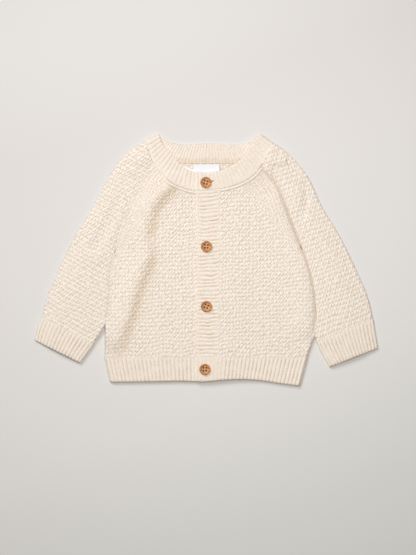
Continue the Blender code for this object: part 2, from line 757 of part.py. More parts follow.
def buttons():
    """Four buttons just above the ridges of the upper band."""
    mesh = button_mesh()
    for number, (x, y) in enumerate(BUTTONS, start=1):
        seat = upper_layer(np.array([(x, y)]), lapped=True)[0]
        height = seat + RIB_VALLEY + RIB_RELIEF + GAP
        piece = add_object(f"button_{number}", mesh.copy(), WOOD, roughness=0.45)
        piece.matrix_world = Matrix.Translation((x * MM, y * MM, height * MM))


for leftover in list(bpy.data.objects):
    bpy.data.objects.remove(leftover)
cardigan = bpy.data.collections.new("baby_cardigan")
cutters = bpy.data.collections.new("cutters")
bpy.context.scene.collection.children.link(cardigan)
bpy.context.scene.collection.children.link(cutters)
cutters.hide_render = True

back()
hem_back()
for side in ("right", "left"):
    front(side)
    hem_front(side)
    sleeve(side)
    cuff(side)
    neckband_front(side)
neckband_back()
buttonhole_band()
button_band()
neck_label()
buttons()
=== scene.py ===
"""Looks of the knitted baby cardigan, laid flat on its back.

Every cloth piece is a thin shell on the form of its solid, sampled finely enough to carry its stitches as
relief. Lengths are in millimetres until a mesh is made. +X is the wearer's left, +Y runs from hem to neck.
"""

import math

import bmesh
import bpy
import numpy as np
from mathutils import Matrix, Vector


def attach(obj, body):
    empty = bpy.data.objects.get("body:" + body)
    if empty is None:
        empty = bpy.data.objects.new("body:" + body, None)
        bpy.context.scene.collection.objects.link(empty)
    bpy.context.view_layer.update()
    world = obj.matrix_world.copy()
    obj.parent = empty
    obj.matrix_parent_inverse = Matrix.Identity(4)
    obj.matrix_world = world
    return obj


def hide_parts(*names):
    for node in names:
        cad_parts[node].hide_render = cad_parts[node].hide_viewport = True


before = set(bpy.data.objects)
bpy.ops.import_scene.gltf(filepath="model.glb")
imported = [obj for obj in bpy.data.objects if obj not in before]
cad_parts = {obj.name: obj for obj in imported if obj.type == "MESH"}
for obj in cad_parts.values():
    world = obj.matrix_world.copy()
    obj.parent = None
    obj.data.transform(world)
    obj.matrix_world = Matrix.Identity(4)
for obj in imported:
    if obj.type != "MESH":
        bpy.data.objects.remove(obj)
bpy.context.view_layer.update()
random = np.random.default_rng(20)

MM = 0.001
LOWEST = 0.00002  # m; no point of a shell lies lower
WHITE = (1.0, 1.0, 1.0)
MIRROR = {"right": -1, "left": 1}

# --- the solids' own sizes, in millimetres ---
WALL = 2.2
RIB_VALLEY = 1.8
RIB_RELIEF = 0.7
UNDERLAP_WALL = 1.4
LABEL_WALL = 0.6
GAP = 0.3  # between two layers
JOIN = -0.08  # pieces that are knitted or linked together run into each other by this
EDGE_ROLL = 3.0
EDGE_ROUND = 1.5
UNDERARM_CLEARANCE = 0.25
ROLL_DROP = 0.6
SIDE_DROP = {"right": 0.03, "left": 0.06}
SIDE_OPENS_Y = {"right": -66.0, "left": -78.0}  # where sleeve and body begin to part
SIDE_SHUT_Y = {"right": -80.0, "left": -94.5}  # down to here they touch
SIDE_OPENING_LENGTH = 30.0
SIDE_LAP = 0.15
ROLL_UNDER = 0.3
SEAM_DIP = {"right": (0.3, 0.4, 0.6), "left": (1.8, 1.3, 1.0)}  # at neck, underarm and the side's end
DIP_PLACES = (0.0, 0.12, 0.54, 0.92, 1.0)  # shares of the seam's length: start, neck, underarm, end, stop
DIP_WIDTH = 2.1
DIP_FADE = 3.0
DIP_FULL_HEIGHT = 4.5  # cloth that lies lower than this dips less
DIP_FLATTENS = 0.9  # of the stitches' relief in the dip, which flattens them and paints the dip as shade in the deeper crevice colour
LINK_SHOWS_X = -48.0  # right of here the row that links the neckband on can be seen
EDGE_PRESS = 0.3  # how much thinner a sleeve lies at its fold
EDGE_PRESS_WIDTH = 24.0
RIM_DROP = 0.5
LAYER_1 = WALL + GAP
NECK_RISE = 0.9
NECK_RISE_LENGTH = 16.0
LAP_RISE = UNDERLAP_WALL + GAP
LAP_RISE_LENGTH = 60.0
SLEEVE_CROWN = 1.8
UNDERARM_LENGTH = 8.0
BOW_SHARE = 0.23  # share of a sleeve's rows over which the bow of the neck seam dies out
BAND_FREE_X = -11.2
BAND_SEAM_X = 15.3
UNDERLAP_INSET = 1.5
HEM_TOP_Y = -115.0
HEM_DEPTH = 28.0
NECKBAND_DEPTH = 24.0
RIDGE_PITCH = 4.6
HEM_PITCH = 4.7
CUFF_PITCH = 4.7
NECK_FRONT_PITCH = 4.9
NECK_BACK_PITCH = 3.7
BUTTONS = ((-0.8, 91.2), (-0.1, 15.9), (-0.2, -54.6), (-1.9, -128.6))
TOP_BUTTONHOLE = ((-1.0, 9.2), 92.5)

# --- the knitting ---
STITCH = 3.95  # width of a stitch
COURSE = 4.65  # height of a course of moss stitch
SMOOTH_COURSE = 3.6  # height of a course of stocking stitch and rib
SLEEVE_STITCH = {"right": 3.47, "left": 3.6}
SLEEVE_COURSE = {"right": 4.95, "left": 5.2}
SLEEVE_WALE_LEAN = {"right": 20.0, "left": -21.0}  # degrees from upright of the sleeves' wales
SLEEVE_COURSE_LEAN = {"right": 27.0, "left": -20.0}  # degrees from level of their courses
STITCH_SLANT = 0.58
STITCH_SHIFT = 0.04  # how far stitches stray, as a share of their size
STITCH_SPREAD = 0.12  # how much their heights differ
PURL_SIZE = (0.46, 0.5)  # half width and half height of a purl bump, as shares of a stitch
LEG_SIZE = (0.2, 0.47)  # the same of each leg of a plain stitch
LEG_APART = 0.22
LEG_LEAN = 0.45
LEG_HEIGHT = 0.8  # as a share of a purl bump's
TWIST_SHARE = 0.14  # of the relief that comes from the ply of the yarn, which slants from stitch to stitch
COURSE_TILT = 3.7  # degrees by which the courses of the fronts rise to the left
CHEVRON = 1.1  # how steeply the small chevrons of plain stitches rise
FUZZ = 0.34  # of the relief that comes from loose fibres
FUZZ_CELL = 1.45
RIB_MEAN = 0.72
MOSS_MEAN = 0.33
SMOOTH_MEAN = 0.25  # mean relief of the smooth band along the raglan
SMOOTH_RELIEF = 0.05
SMOOTH_FADE = 6.0  # over this width it turns into moss stitch
ROW_MIDDLE = 2.7  # how far below the neck seam the row lies that links the neckband on
ROW_HALF_WIDTH = 1.1
ROW_GROOVES = ((1.1, 0.5), (4.5, 0.6))  # place below the seam and width of each groove beside it
ROW_END = 4.9

# --- plan outlines, as in the solids ---
RAGLAN = {
    "right": ((-60.8, 112.1), (-69.0, 102.7), (-79.6, 85.5), (-87.9, 69.0), (-95.0, 51.9), (-106.8, 14.2)),
    "left": ((63.7, 110.9), (70.2, 102.7), (83.4, 87.0), (91.4, 67.3), (99.1, 46.5), (110.3, 18.1)),
}
BACK_RAGLAN = {
    "right": ((-55.5, 121.3), (-70.2, 96.8), (-84.4, 64.9), (-106.8, 14.2)),
    "left": ((61.3, 120.3), (73.8, 96.8), (87.9, 64.9), (110.3, 18.1)),
}
RAGLAN_BAND = {  # inner edge of the smooth band along the raglan, neckband to underarm
    "right": (
        (-34.0, 90.0), (-36.6, 83.8), (-54.3, 73.8), (-69.0, 59.0), (-77.9, 41.3), (-92.6, 21.2), (-107, 0),
    ),
    "left": ((40.0, 92.0), (43.1, 82.6), (63.7, 62.0), (81.4, 41.3), (96.2, 26.6), (112.0, 0.0)),
}
BODY_SIDE = {
    "right": (
        (-106.8, 14.2), (-110.9, -2.4), (-113.3, -17.7), (-115.0, -47.2), (-118.8, -77.9), (-119.8, -115.0),
    ),
    "left": ((110.3, 18.1), (118.6, -3.5), (125.9, -34.8), (128.4, -63.3), (126.2, -89.9), (118.6, -115.0)),
}
SLEEVE_INNER = {
    "right": (
        (-106.8, 14.2), (-110.9, -2.4), (-113.3, -17.7), (-115.4, -47.2), (-120.6, -77.9), (-132.8, -99.1),
    ),
    "left": ((110.3, 18.1), (118.6, -3.5), (125.9, -34.8), (129.4, -63.3), (130.4, -80.2), (129.6, -96.8)),
}
SLEEVE_OUTER = {
    "right": (
        (-71.4, 139.8), (-90.3, 129.2), (-103.2, 116.2), (-113.3, 100.3), (-135.7, 59.6), (-159.3, 18.9),
        (-181.1, -27.1), (-189.8, -49.6), (-193.5, -67.3),
    ),
    "left": (
        (78.5, 138.1), (91.4, 129.8), (106.8, 115.0), (117.4, 101.5), (135.1, 64.9), (157.5, 27.1),
        (176.4, -11.8), (191.8, -49.9), (196.0, -69.6),
    ),
}
CUFF_INNER = {
    "right": ((-132.8, -99.1), (-148.8, -121.1)), "left": ((129.6, -96.8), (136.3, -110.9), (144.9, -125.8)),
}
CUFF_OUTER = {
    "right": ((-193.5, -67.3), (-197.6, -77.9), (-202.0, -94.4)),
    "left": ((196.0, -69.6), (198.6, -87.3), (201.5, -103.8)),
}
HEM_SIDE = {"right": ((-119.8, -115.0), (-113.2, -143.6)), "left": ((118.6, -115.0), (109.9, -148.0))}
HEM_BOTTOM = (
    (-113.2, -143.6), (-71.4, -143.1), (-31.3, -142.4), (-0.6, -142.9), (20.6, -140.9), (36.0, -140.3),
    (63.1, -141.6), (84.4, -144.8), (109.9, -148.0),
)
NECK_EDGE = (
    (-56.0, 148.0), (-51.6, 136.4), (-46.3, 129.8), (-36.2, 120.2), (-31.0, 113.6), (-25.2, 108.3),
    (-17.5, 104.5), (-9.7, 103.1), (-0.8, 102.5), (13.6, 104.2), (24.2, 108.4), (35.5, 114.8), (44.6, 123.2),
    (50.6, 133.0), (56.6, 141.4), (64.3, 147.7),
)
NECK_SEAM = (
    (-71.4, 139.8), (-67.6, 127.0), (-60.8, 112.1), (-51.3, 99.6), (-37.2, 89.7), (-24.2, 84.6),
    (-11.2, 82.0), (0.6, 81.9), (15.3, 84.4), (40.1, 91.3), (53.3, 99.1), (63.7, 110.9), (71.8, 124.8),
    (78.5, 138.1),
)
BACK_NECK_EDGE = (
    (-56.0, 148.0), (-49.5, 141.4), (-40.7, 138.1), (4.1, 137.4), (48.2, 138.1), (57.2, 141.6), (64.3, 147.7),
)
BACK_NECK_SEAM = (
    (-71.4, 139.8), (-64.3, 129.6), (-49.0, 118.4), (-31.3, 114.6), (4.1, 113.6), (38.5, 114.6),
    (56.0, 118.2), (71.2, 127.3), (78.5, 138.1),
)

# Each fold is a crest (or, with a negative height, a trough) along a line: (line, height, width on its right
# as seen along the line, width on its left). The first five are the solids' own, the others small creases.
LONG_FOLD = (
    (-28.0, 97.5), (-43.7, 88.6), (-55.0, 80.3), (-65.6, 67.0), (-72.2, 49.2), (-74.4, 28.3), (-71.2, 8.4),
    (-75.2, -3.5), (-83.9, -26.7), (-92.9, -56.6), (-102.3, -86.1), (-110.5, -116.0),
)
SIDE_FOLD = ((68.5, 84.3), (86.9, 55.5), (101.2, 20.1), (114.0, -21.2), (118.8, -64.9), (113.9, -101.2))
FOLDS = (
    (LONG_FOLD, 5.2, 18.0, 11.0),
    (((-82.0, 106.0), (-97.7, 86.0), (-119.0, 40.0), (-137.5, 5.9)), -1.3, 8.0, 8.0),
    (SIDE_FOLD, 2.2, 16.0, 9.0),
    (((119.8, 94.4), (113.9, 44.8)), -1.2, 6.0, 6.0),
    (((70.5, 112.9), (96.2, 116.9)), 1.8, 7.0, 8.0),
    (((-35.0, 90.0), (-48.0, 79.5), (-58.5, 65.0), (-64.0, 46.0), (-66.0, 28.0)), 1.1, 12.0, 5.0),
    (((-63.5, 12.0), (-69.0, -6.0), (-79.0, -30.0), (-88.0, -59.0), (-97.5, -88.0)), 0.9, 12.0, 5.0),
    (((-100.0, 109.5), (-86.0, 110.0), (-73.0, 105.5)), -0.7, 4.0, 4.0),
    (((-100.5, 79.0), (-111.0, 52.0), (-124.0, 26.0), (-138.0, 4.0)), -0.9, 6.0, 6.0),
    (((71.0, 112.0), (84.0, 109.5), (97.0, 112.5)), -0.5, 3.0, 3.0),
    (((117.5, 98.0), (120.5, 82.0), (117.0, 68.0), (114.5, 45.0)), -0.5, 2.8, 2.8),
    (((1.0, 62.5), (12.0, 60.0), (24.0, 63.0)), -0.9, 3.5, 3.5),
    (((9.0, -99.0), (27.0, -94.0), (45.0, -85.5)), -1.0, 4.0, 4.0),
    (((64.0, -99.5), (82.0, -101.5), (100.0, -100.0)), -0.8, 4.0, 4.0),
    (((25.0, -32.0), (46.0, -24.0), (67.0, -14.0)), -0.9, 7.0, 7.0),
)
LONG_FOLDS = (FOLDS[0], FOLDS[5], FOLDS[6])  # the long fold and its two small ones
FOLD_END_FADE = 14.0
TO_LIGHT = (-0.56, 0.83)  # plan direction that the light comes from
PAINTED_SHADE_SLOPE = 0.35  # a fall by this much in a millimetre gets the fullest painted shade


# --- curves and surfaces ---
def curve(points):
    """A smooth curve through the points, as a function of the share of its length, 0 to 1."""
    points = np.array(points, float)
    steps = np.linalg.norm(np.diff(points, axis=0), axis=1)
    knots = np.concatenate(([0.0], np.cumsum(steps))) / steps.sum()
    slopes = np.gradient(points, knots, axis=0)

    def at(share):
        share = np.atleast_1d(np.asarray(share, float))
        piece = np.clip(np.searchsorted(knots, share, side="right") - 1, 0, len(knots) - 2)
        width = (knots[piece + 1] - knots[piece])[:, None]
        t = (share - knots[piece])[:, None] / width
        start = (2 * t**3 - 3 * t**2 + 1) * points[piece] + (t**3 - 2 * t**2 + t) * width * slopes[piece]
        end = (3 * t**2 - 2 * t**3) * points[piece + 1] + (t**3 - t**2) * width * slopes[piece + 1]
        return start + end

    return at


def evenly(points, count):
    return curve(points)(np.linspace(0, 1, count))


def across(line):
    """Unit plan vectors square to a line of points, on its left."""
    along = np.gradient(line, axis=0)
    along /= np.linalg.norm(along, axis=1)[:, None]
    return np.stack((-along[:, 1], along[:, 0]), axis=1)


def stretch(points, start_x, end_x, count, shift=0.0):
    """count points of the curve from one x to another, moved to its left by shift; x only grows along it."""
    shares = np.linspace(0, 1, 400)
    ends = np.interp((start_x, end_x), curve(points)(shares)[:, 0], shares)
    part = curve(points)(np.linspace(*ends, count))
    return part + across(part) * shift


def y_on(points, x):
    """y of the curve through the points at each x."""
    line = evenly(points, 400)
    return np.interp(x, line[:, 0], line[:, 1])


def lengths_along(points, axis):
    """Distance along a grid's rows or columns from their first point."""
    steps = np.linalg.norm(np.diff(points, axis=axis), axis=-1)
    start = np.zeros_like(np.take(steps, [0], axis=axis))
    return np.concatenate((start, np.cumsum(steps, axis=axis)), axis=axis)


def unit(vectors):
    return vectors / np.linalg.norm(vectors, axis=-1)[..., None]


def smooth_step(value):
    value = np.clip(value, 0, 1)
    return value * value * (3 - 2 * value)


def wave(turns):
    """A wave from 0 to 1 that is highest at whole turns."""
    return 0.5 + 0.5 * np.cos(2 * math.pi * turns)


def grown(distance, length, least):
    """Grows smoothly from the least at distance 0 to 1 at the length."""
    return least + (1 - least) * smooth_step(distance / length)


def blended(first, second, share):
    return first * (1 - share) + second * share


def joined(*grids):
    return np.concatenate(grids, axis=1)


def patch(bottom, top, left, right):
    """Plan grid between four edges; bottom and top run from left to right, left and right upwards."""
    u = np.linspace(0, 1, len(bottom))[None, :, None]
    v = np.linspace(0, 1, len(left))[:, None, None]
    between_ends = (1 - v) * bottom[None] + v * top[None]
    between_sides = (1 - u) * left[:, None] + u * right[:, None]
    low_corners = (1 - u) * bottom[0] + u * bottom[-1]
    high_corners = (1 - u) * top[0] + u * top[-1]
    return between_ends + between_sides - (1 - v) * low_corners - v * high_corners


def place_by(points, plan, samples=48):
    """Each plan point's distance to the left of a curve, past its nearest end, and share of its length."""
    line = evenly(points, samples)
    start, step = line[:-1], np.diff(line, axis=0)
    length = np.linalg.norm(step, axis=1)
    flat = plan.reshape(-1, 1, 2) - start
    reach = np.sum(flat * step, axis=-1) / length**2
    away = flat - np.clip(reach, 0, 1)[..., None] * step
    distance = np.linalg.norm(away, axis=-1)
    nearest = np.argmin(distance, axis=1)
    pick = (np.arange(len(nearest)), nearest)
    turn = step[nearest, 0] * flat[pick][:, 1] - step[nearest, 1] * flat[pick][:, 0]
    last = (nearest == len(step) - 1) * np.maximum(reach[pick] - 1, 0)
    first = (nearest == 0) * np.maximum(-reach[pick], 0)
    beyond = (first + last) * length[nearest]
    side = np.sign(turn) * np.sqrt(np.maximum(distance[pick] ** 2 - beyond**2, 0))
    share = (nearest + np.clip(reach[pick], 0, 1)) / len(step)
    shape = plan.shape[:-1]
    return side.reshape(shape), beyond.reshape(shape), share.reshape(shape)


# --- heights ---
def fold_height(plan, folds=FOLDS):
    total = np.zeros(plan.shape[:-1])
    for line, height, right_width, left_width in folds:
        side, beyond, share = place_by(line, plan, 40)
        width = np.where(side > 0, left_width, right_width)
        ends = smooth_step(np.minimum(share, 1 - share) * 8)
        total += height * ends * np.exp(-((side / width) ** 2) - (beyond / FOLD_END_FADE) ** 2)
    return total


def upper_layer(plan, lapped=False, crown=0.0):
    """Height of the underside of the upper layer at each plan point."""
    below_neck = -place_by(NECK_SEAM, plan, 80)[0]
    height = LAYER_1 + NECK_RISE * (1 - smooth_step(below_neck / NECK_RISE_LENGTH))
    if lapped:
        height += LAP_RISE * (1 - smooth_step((plan[..., 0] - BAND_SEAM_X) / LAP_RISE_LENGTH))
    return height + np.maximum(fold_height(plan), -crown) + crown


# --- stitches ---
def wander(places, wavelength, seed):
    """A smooth random field of about -1 to 1, with bumps about a wavelength apart."""
    source = np.random.default_rng(seed)
    total = np.zeros(places.shape[:-1])
    for _ in range(9):
        heading = source.uniform(0, 2 * math.pi)
        steepness = source.uniform(0.7, 1.5) * 2 * math.pi / wavelength
        direction = np.array((math.cos(heading), math.sin(heading))) * steepness
        total += np.sin(places @ direction + source.uniform(0, 2 * math.pi))
    return total / 3.5


def fuzz(places, cell, seed):
    """A random field of about -1 to 1 that changes smoothly from each cell to the next."""
    table = np.random.default_rng(seed).normal(0, 0.6, (256, 256))
    for axis in (0, 1):
        table -= (np.roll(table, 1, axis) + np.roll(table, -1, axis)) / 4
    corner = np.floor(places / cell).astype(int)
    share = smooth_step(places / cell - corner)
    total = np.zeros(places.shape[:-1])
    for right in (0, 1):
        for up in (0, 1):
            across_share = share[..., 0] if right else 1 - share[..., 0]
            up_share = share[..., 1] if up else 1 - share[..., 1]
            values = table[(corner[..., 0] + right) % 256, (corner[..., 1] + up) % 256]
            total += values * across_share * up_share
    return total


def strayed(flat, reach, seed):
    """Places moved by about the reach, so that rows of stitches aren't quite straight."""
    return flat + reach * np.stack((wander(flat, 60, seed), wander(flat, 45, seed + 1)), axis=-1)


def mound(x, y, half_width, half_height):
    """A yarn's bump over its ellipse in plan, from 0 to 1."""
    return np.maximum(1 - (x / half_width) ** 2 - (y / half_height) ** 2, 0) ** 0.75


def stitches(u, v, seed):
    """Relief of moss stitch at wale u and course v, from 0 between the yarns to 1 on top of a purl bump.

    Each stitch has its own small shift and size.
    """
    source = np.random.default_rng(seed)
    shift = source.normal(0, STITCH_SHIFT, (2, 64, 64))
    size = 1 - np.abs(source.normal(0, STITCH_SPREAD, (64, 64)))
    relief = np.zeros(u.shape)
    for side_step in (-1, 0, 1):
        for row_step in (-1, 0, 1):
            wale = np.floor(u).astype(int) + side_step
            course = np.floor(v).astype(int) + row_step
            own = (wale % 64, course % 64)
            y = v - course - 0.5 - shift[1][own]
            x = u - wale - 0.5 - shift[0][own] - STITCH_SLANT * y
            bump = mound(x, y + 0.05, *PURL_SIZE) * size[own]
            leg = LEG_HEIGHT * mound(np.abs(x) - LEG_APART - LEG_LEAN * y, y - 0.05, *LEG_SIZE) * size[own]
            relief = np.maximum(relief, np.where((wale + course) % 2 == 0, bump, leg))
    return (1 - TWIST_SHARE) * relief + TWIST_SHARE * wave(u - v)


def rib_wave(phase):
    """Profile of 1x1 rib: narrow valleys at whole phases, round wales between them."""
    return np.abs(np.sin(math.pi * phase)) ** 0.5


def ribbing(phase, along, seed, strength=1.0):
    """Relief of 1x1 rib, 0 in the valleys to 1 on the wales, whose stitches are small chevrons."""
    middle = np.abs(phase % 1 - 0.5)
    stitch = wave(along / SMOOTH_COURSE + CHEVRON * middle)
    places = np.stack((phase * 4, along), axis=-1)
    wale = 0.86 + 0.14 * stitch * (1 - 2 * middle) + 0.05 * wander(places, 11.0, seed)
    valley = np.clip(0.08 + 0.16 * wander(places, 17.0, seed + 50), 0, 0.4)
    relief = (valley + (1 - valley) * rib_wave(phase)) * wale
    return RIB_MEAN + (relief - RIB_MEAN) * strength


# --- shells ---
def with_height(plan, height):
    return np.concatenate((plan, np.broadcast_to(height, plan.shape[:-1])[..., None]), axis=-1)


def rolled_edge(edge, away, upper, amount, wall, drop=ROLL_DROP, samples=8, falls=4):
    """Outer and inner points of the columns that roll a panel's edge down to the surface below."""
    outer, inner = [], []
    for share in np.linspace(0, 1, samples + 1)[1:]:
        turn = share * math.pi / 2
        back = EDGE_ROLL * (amount * (1 - math.sin(turn)) + (1 - amount) * (1 - 0.75 * share))
        high = upper - amount * drop * upper * (1 - math.cos(turn))
        outer_plan = edge - away * back[:, None]
        outer.append(with_height(outer_plan, high))
        inner_plan = outer_plan - away * (amount * wall * math.sin(turn))[:, None]
        inner.append(with_height(inner_plan, high - wall * (1 - amount + amount * math.cos(turn))))
    outer_foot = with_height(edge - away * (amount * ROLL_UNDER)[:, None], (1 - amount) * upper)
    inner_foot = with_height(edge - away * (amount * wall)[:, None], (1 - amount) * (upper - wall))
    outer_top, inner_top = outer[-1], inner[-1]
    for share in np.linspace(0, 1, falls + 1)[1:]:
        outer.append(outer_top + share * (outer_foot - outer_top))
        inner.append(inner_top + share * (inner_foot - inner_top))
    return np.stack(outer, axis=1), np.stack(inner, axis=1)


def rim_height(inside):
    """How much lower a rib lies near its rim, at each distance inside it."""
    return -RIM_DROP * (1 - smooth_step(inside / EDGE_ROUND))


def rolled_panel(plan, lapped, edge, away, amount, wall, rim, drop=ROLL_DROP):
    """Outer and inner points of an upper panel and the roll beyond its last column, and the roll's alone."""
    under = upper_layer(plan, lapped)
    roll_outer, roll_inner = rolled_edge(edge, away, under[:, -1] + wall + rim, amount, wall, drop)
    outer = joined(with_height(plan, under + wall + rim[:, None]), roll_outer)
    return outer, joined(with_height(plan, under), roll_inner), roll_outer


def past_underarm(underarm, y):
    """How far the edge at each y is past the underarm towards the hem, from 0 to 1."""
    return smooth_step((underarm - y) / UNDERARM_LENGTH)


def side_drop(side, y):
    """How far a side edge rolls down, as a share of its height; less where sleeve and body touch."""
    opened = smooth_step((SIDE_OPENS_Y[side] - y) / SIDE_OPENING_LENGTH)
    return SIDE_DROP[side] + (ROLL_DROP - SIDE_DROP[side]) * opened


def side_lean(side, y):
    """How far each of the two side edges leans towards the other, so that they touch down to SIDE_SHUT_Y."""
    body, arm = evenly(BODY_SIDE[side], 200), evenly(SLEEVE_INNER[side], 200)
    opening = np.abs(np.interp(-y, -arm[:, 1], arm[:, 0]) - np.interp(-y, -body[:, 1], body[:, 0]))
    return (opening / 2 + SIDE_LAP) * smooth_step((y - SIDE_SHUT_Y[side]) / 5)


def folded_edge(edge, away, upper, wall, samples=15):
    """Outer and inner points of the columns that carry a tube from its upper to its lower layer."""
    outer, inner = [], []
    for turn in np.linspace(math.pi / 2, -math.pi / 2, samples + 2)[1:-1]:
        outer_back = EDGE_ROLL * (1 - math.cos(turn))
        inner_back = EDGE_ROLL - (EDGE_ROLL - wall) * math.cos(turn)
        outer.append(with_height(edge - away * outer_back, upper / 2 * (1 + math.sin(turn))))
        inner.append(with_height(edge - away * inner_back, upper / 2 + (upper / 2 - wall) * math.sin(turn)))
    return np.stack(outer, axis=1), np.stack(inner, axis=1)


def outward(points, looks_up=True):
    """Unit normals of a grid that point up at its highest point, and whether they had to be turned."""
    rows, columns = np.gradient(points, axis=0), np.gradient(points, axis=1)
    normal = np.cross(columns, rows)
    normal /= np.linalg.norm(normal, axis=-1)[..., None] + 1e-9
    top = np.unravel_index(np.argmax(points[..., 2]), points.shape[:2])
    turned = (normal[top][2] < 0) == looks_up
    return (-normal if turned else normal), turned


def quads(number):
    corners = (number[:-1, :-1], number[:-1, 1:], number[1:, 1:], number[1:, :-1])
    return np.stack(corners, axis=-1).reshape(-1, 4)


def rim_of(number):
    return np.concatenate((number[0, :-1], number[:-1, -1], number[-1, :0:-1], number[:0:-1, 0]))


def painted_fold_shade(plan):
    """Painted shade where the long fold of the right front falls to the lower right, away from the light: how
    much warmer and deeper its yarn is painted, from 0 to 1.
    """
    ahead = np.array(TO_LIGHT) * 0.5
    slope = fold_height(plan + ahead, LONG_FOLDS) - fold_height(plan - ahead, LONG_FOLDS)
    return smooth_step(slope / PAINTED_SHADE_SLOPE)


def shell(name, outer, inner, yarn, turned, material, coarse=4, painted_shade=None):
    """A closed shell: a fine outer grid, and an inner one of every coarse-th point of its rows and columns.

    yarn is the share of the relief's height at each outer point, which the material reads to paint shade: the
    crevice colour low between the yarns and a lighter colour on top.
    """
    inner = inner[::coarse, ::coarse]
    number = np.arange(outer.shape[0] * outer.shape[1]).reshape(outer.shape[:2])
    inside = number.size + np.arange(inner.shape[0] * inner.shape[1]).reshape(inner.shape[:2])
    faces = quads(number).tolist() + quads(inside)[:, ::-1].tolist()
    rim, inner_rim = rim_of(number), rim_of(inside)
    for place in range(len(inner_rim)):
        part = rim[np.arange(place * coarse, (place + 1) * coarse + 1) % len(rim)]
        after = inner_rim[(place + 1) % len(inner_rim)]
        faces.append([*part[::-1].tolist(), int(inner_rim[place]), int(after)])
    if turned:
        faces = [face[::-1] for face in faces]
    points = np.concatenate((outer.reshape(-1, 3), inner.reshape(-1, 3))) * MM
    points[:, 2] = np.maximum(points[:, 2], LOWEST)
    mesh = bpy.data.meshes.new(name)
    mesh.from_pydata(points.tolist(), [], faces)
    inner_yarn = yarn.reshape(-1) if coarse == 1 else np.full(inside.size, MOSS_MEAN)
    set_values(mesh, "yarn", np.concatenate((yarn.reshape(-1), inner_yarn)))
    if painted_shade is not None:
        set_values(mesh, "painted_shade", np.concatenate((painted_shade.reshape(-1), np.zeros(inside.size))))
    mesh.shade_smooth()
    mesh.materials.append(material)
    return add_piece(name, mesh)


def set_values(mesh, name, values):
    """Gives each of a mesh's points a number that its material reads."""
    attribute = mesh.attributes.new(name, "FLOAT", "POINT")
    attribute.data.foreach_set("value", np.asarray(values, dtype=np.float32))


def add_piece(name, mesh):
    piece = bpy.data.objects.new(name, mesh)
    bpy.context.scene.collection.objects.link(piece)
    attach(piece, "root")
    return piece


def knit(
    node, base, inner, relief, depth, rib=False, looks_up=True, coarse=4, shade=1.0,
    painted_shade=None,
):
    """relief is 0 between the yarns to 1 on top of them, and depth is (lowest, highest) in millimetres. The
    relief also sets the yarn's painted shade, deeper between the yarns and lighter on top. Where shade is
    below 1 the yarn has more of that painted crevice shade, and where the fold's painted shade is given the
    yarn is painted warmer.
    """
    normal, turned = outward(base, looks_up)
    low, high = depth
    outer = base + normal * (low + (high - low) * relief)[..., None]
    material, slot = (rib_cotton, "rib") if rib else (moss_cotton, "knit")
    name = "knit_" + node.removesuffix("_panel")
    piece = shell(name, outer, inner, relief * shade, turned, material, coarse, painted_shade)
    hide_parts(node)


# --- materials ---
class Paint:
    """A principled material, and shorthand for the nodes that colour it."""

    def __init__(self, name, roughness, sheen=0.0):
        self.material = bpy.data.materials.new(name)
        self.material.use_nodes = True
        self.tree = self.material.node_tree
        self.set({"Roughness": roughness, "Sheen Weight": sheen, "Sheen Roughness": 0.5})

    def set(self, sockets, node=None):
        """Sets a node's sockets, the shader's by default, each to a value or to what another socket gives."""
        node = node or self.tree.nodes["Principled BSDF"]
        for socket, value in sockets.items():
            if isinstance(value, bpy.types.NodeSocket):
                self.tree.links.new(value, node.inputs[socket])
            else:
                node.inputs[socket].default_value = value

    def node(self, kind, sockets, **settings):
        node = self.tree.nodes.new("ShaderNode" + kind)
        for setting, value in settings.items():
            setattr(node, setting, value)
        self.set(sockets, node)
        return node

    def places(self):
        return self.node("TexCoord", {}).outputs["Object"]

    def reading(self, attribute):
        return self.node("Attribute", {}, attribute_name=attribute).outputs["Fac"]

    def noise(self, where, scale, detail=2.0, distortion=0.0):
        sockets = {"Vector": where, "Scale": scale, "Detail": detail, "Distortion": distortion}
        return self.node("TexNoise", sockets).outputs["Fac"]

    def ramp(self, factor, stops):
        """The colour at a factor between stops of (place, colour)."""
        node = self.node("ValToRGB", {"Fac": factor})
        elements = node.color_ramp.elements
        for element, (place, colour) in ((elements[0], stops[0]), (elements[1], stops[-1])):
            element.position, element.color = place, (*colour, 1)
        for place, colour in stops[1:-1]:
            elements.new(place).color = (*colour, 1)
        return node.outputs["Color"]

    def times(self, first, second):
        sockets = {0: 1.0, 6: first, 7: second}
        return self.node("Mix", sockets, data_type="RGBA", blend_type="MULTIPLY").outputs[2]

    def bump(self, height, distance, strength):
        sockets = {"Height": height, "Distance": distance, "Strength": strength}
        self.set({"Normal": self.node("Bump", sockets).outputs["Normal"]})


def cotton(name, crevice, middle, top):
    """Soft cream cotton yarn with painted shade, deeper and warmer between the stitches and lighter on top of
    them, and with slubs and loose fibres.
    """
    paint = Paint(name, 0.92, sheen=0.12)
    where = paint.places()
    # painted shade: the crevice colour where the relief is low, a lighter colour on the tops of the stitches
    colour = paint.ramp(paint.reading("yarn"), ((0.0, crevice), (0.35, middle), (0.95, top)))
    slubs = paint.ramp(paint.noise(where, 160.0, 3.0), ((0.3, (0.965, 0.955, 0.94)), (0.7, WHITE)))
    lint = paint.ramp(paint.noise(where, 1200.0), ((0.28, (0.76, 0.68, 0.59)), (0.48, WHITE)))
    # painted shade: warmer, deeper yarn where the long fold turns away from the light
    fold_shade_tint = paint.ramp(paint.reading("painted_shade"), ((0.0, WHITE), (1.0, (1.0, 0.955, 0.885))))
    for tint in (slubs, lint, fold_shade_tint):
        colour = paint.times(colour, tint)
    paint.set({"Base Color": colour})
    paint.bump(paint.noise(where, 2600.0, 3.0), 0.00035, 0.5)
    return paint.material


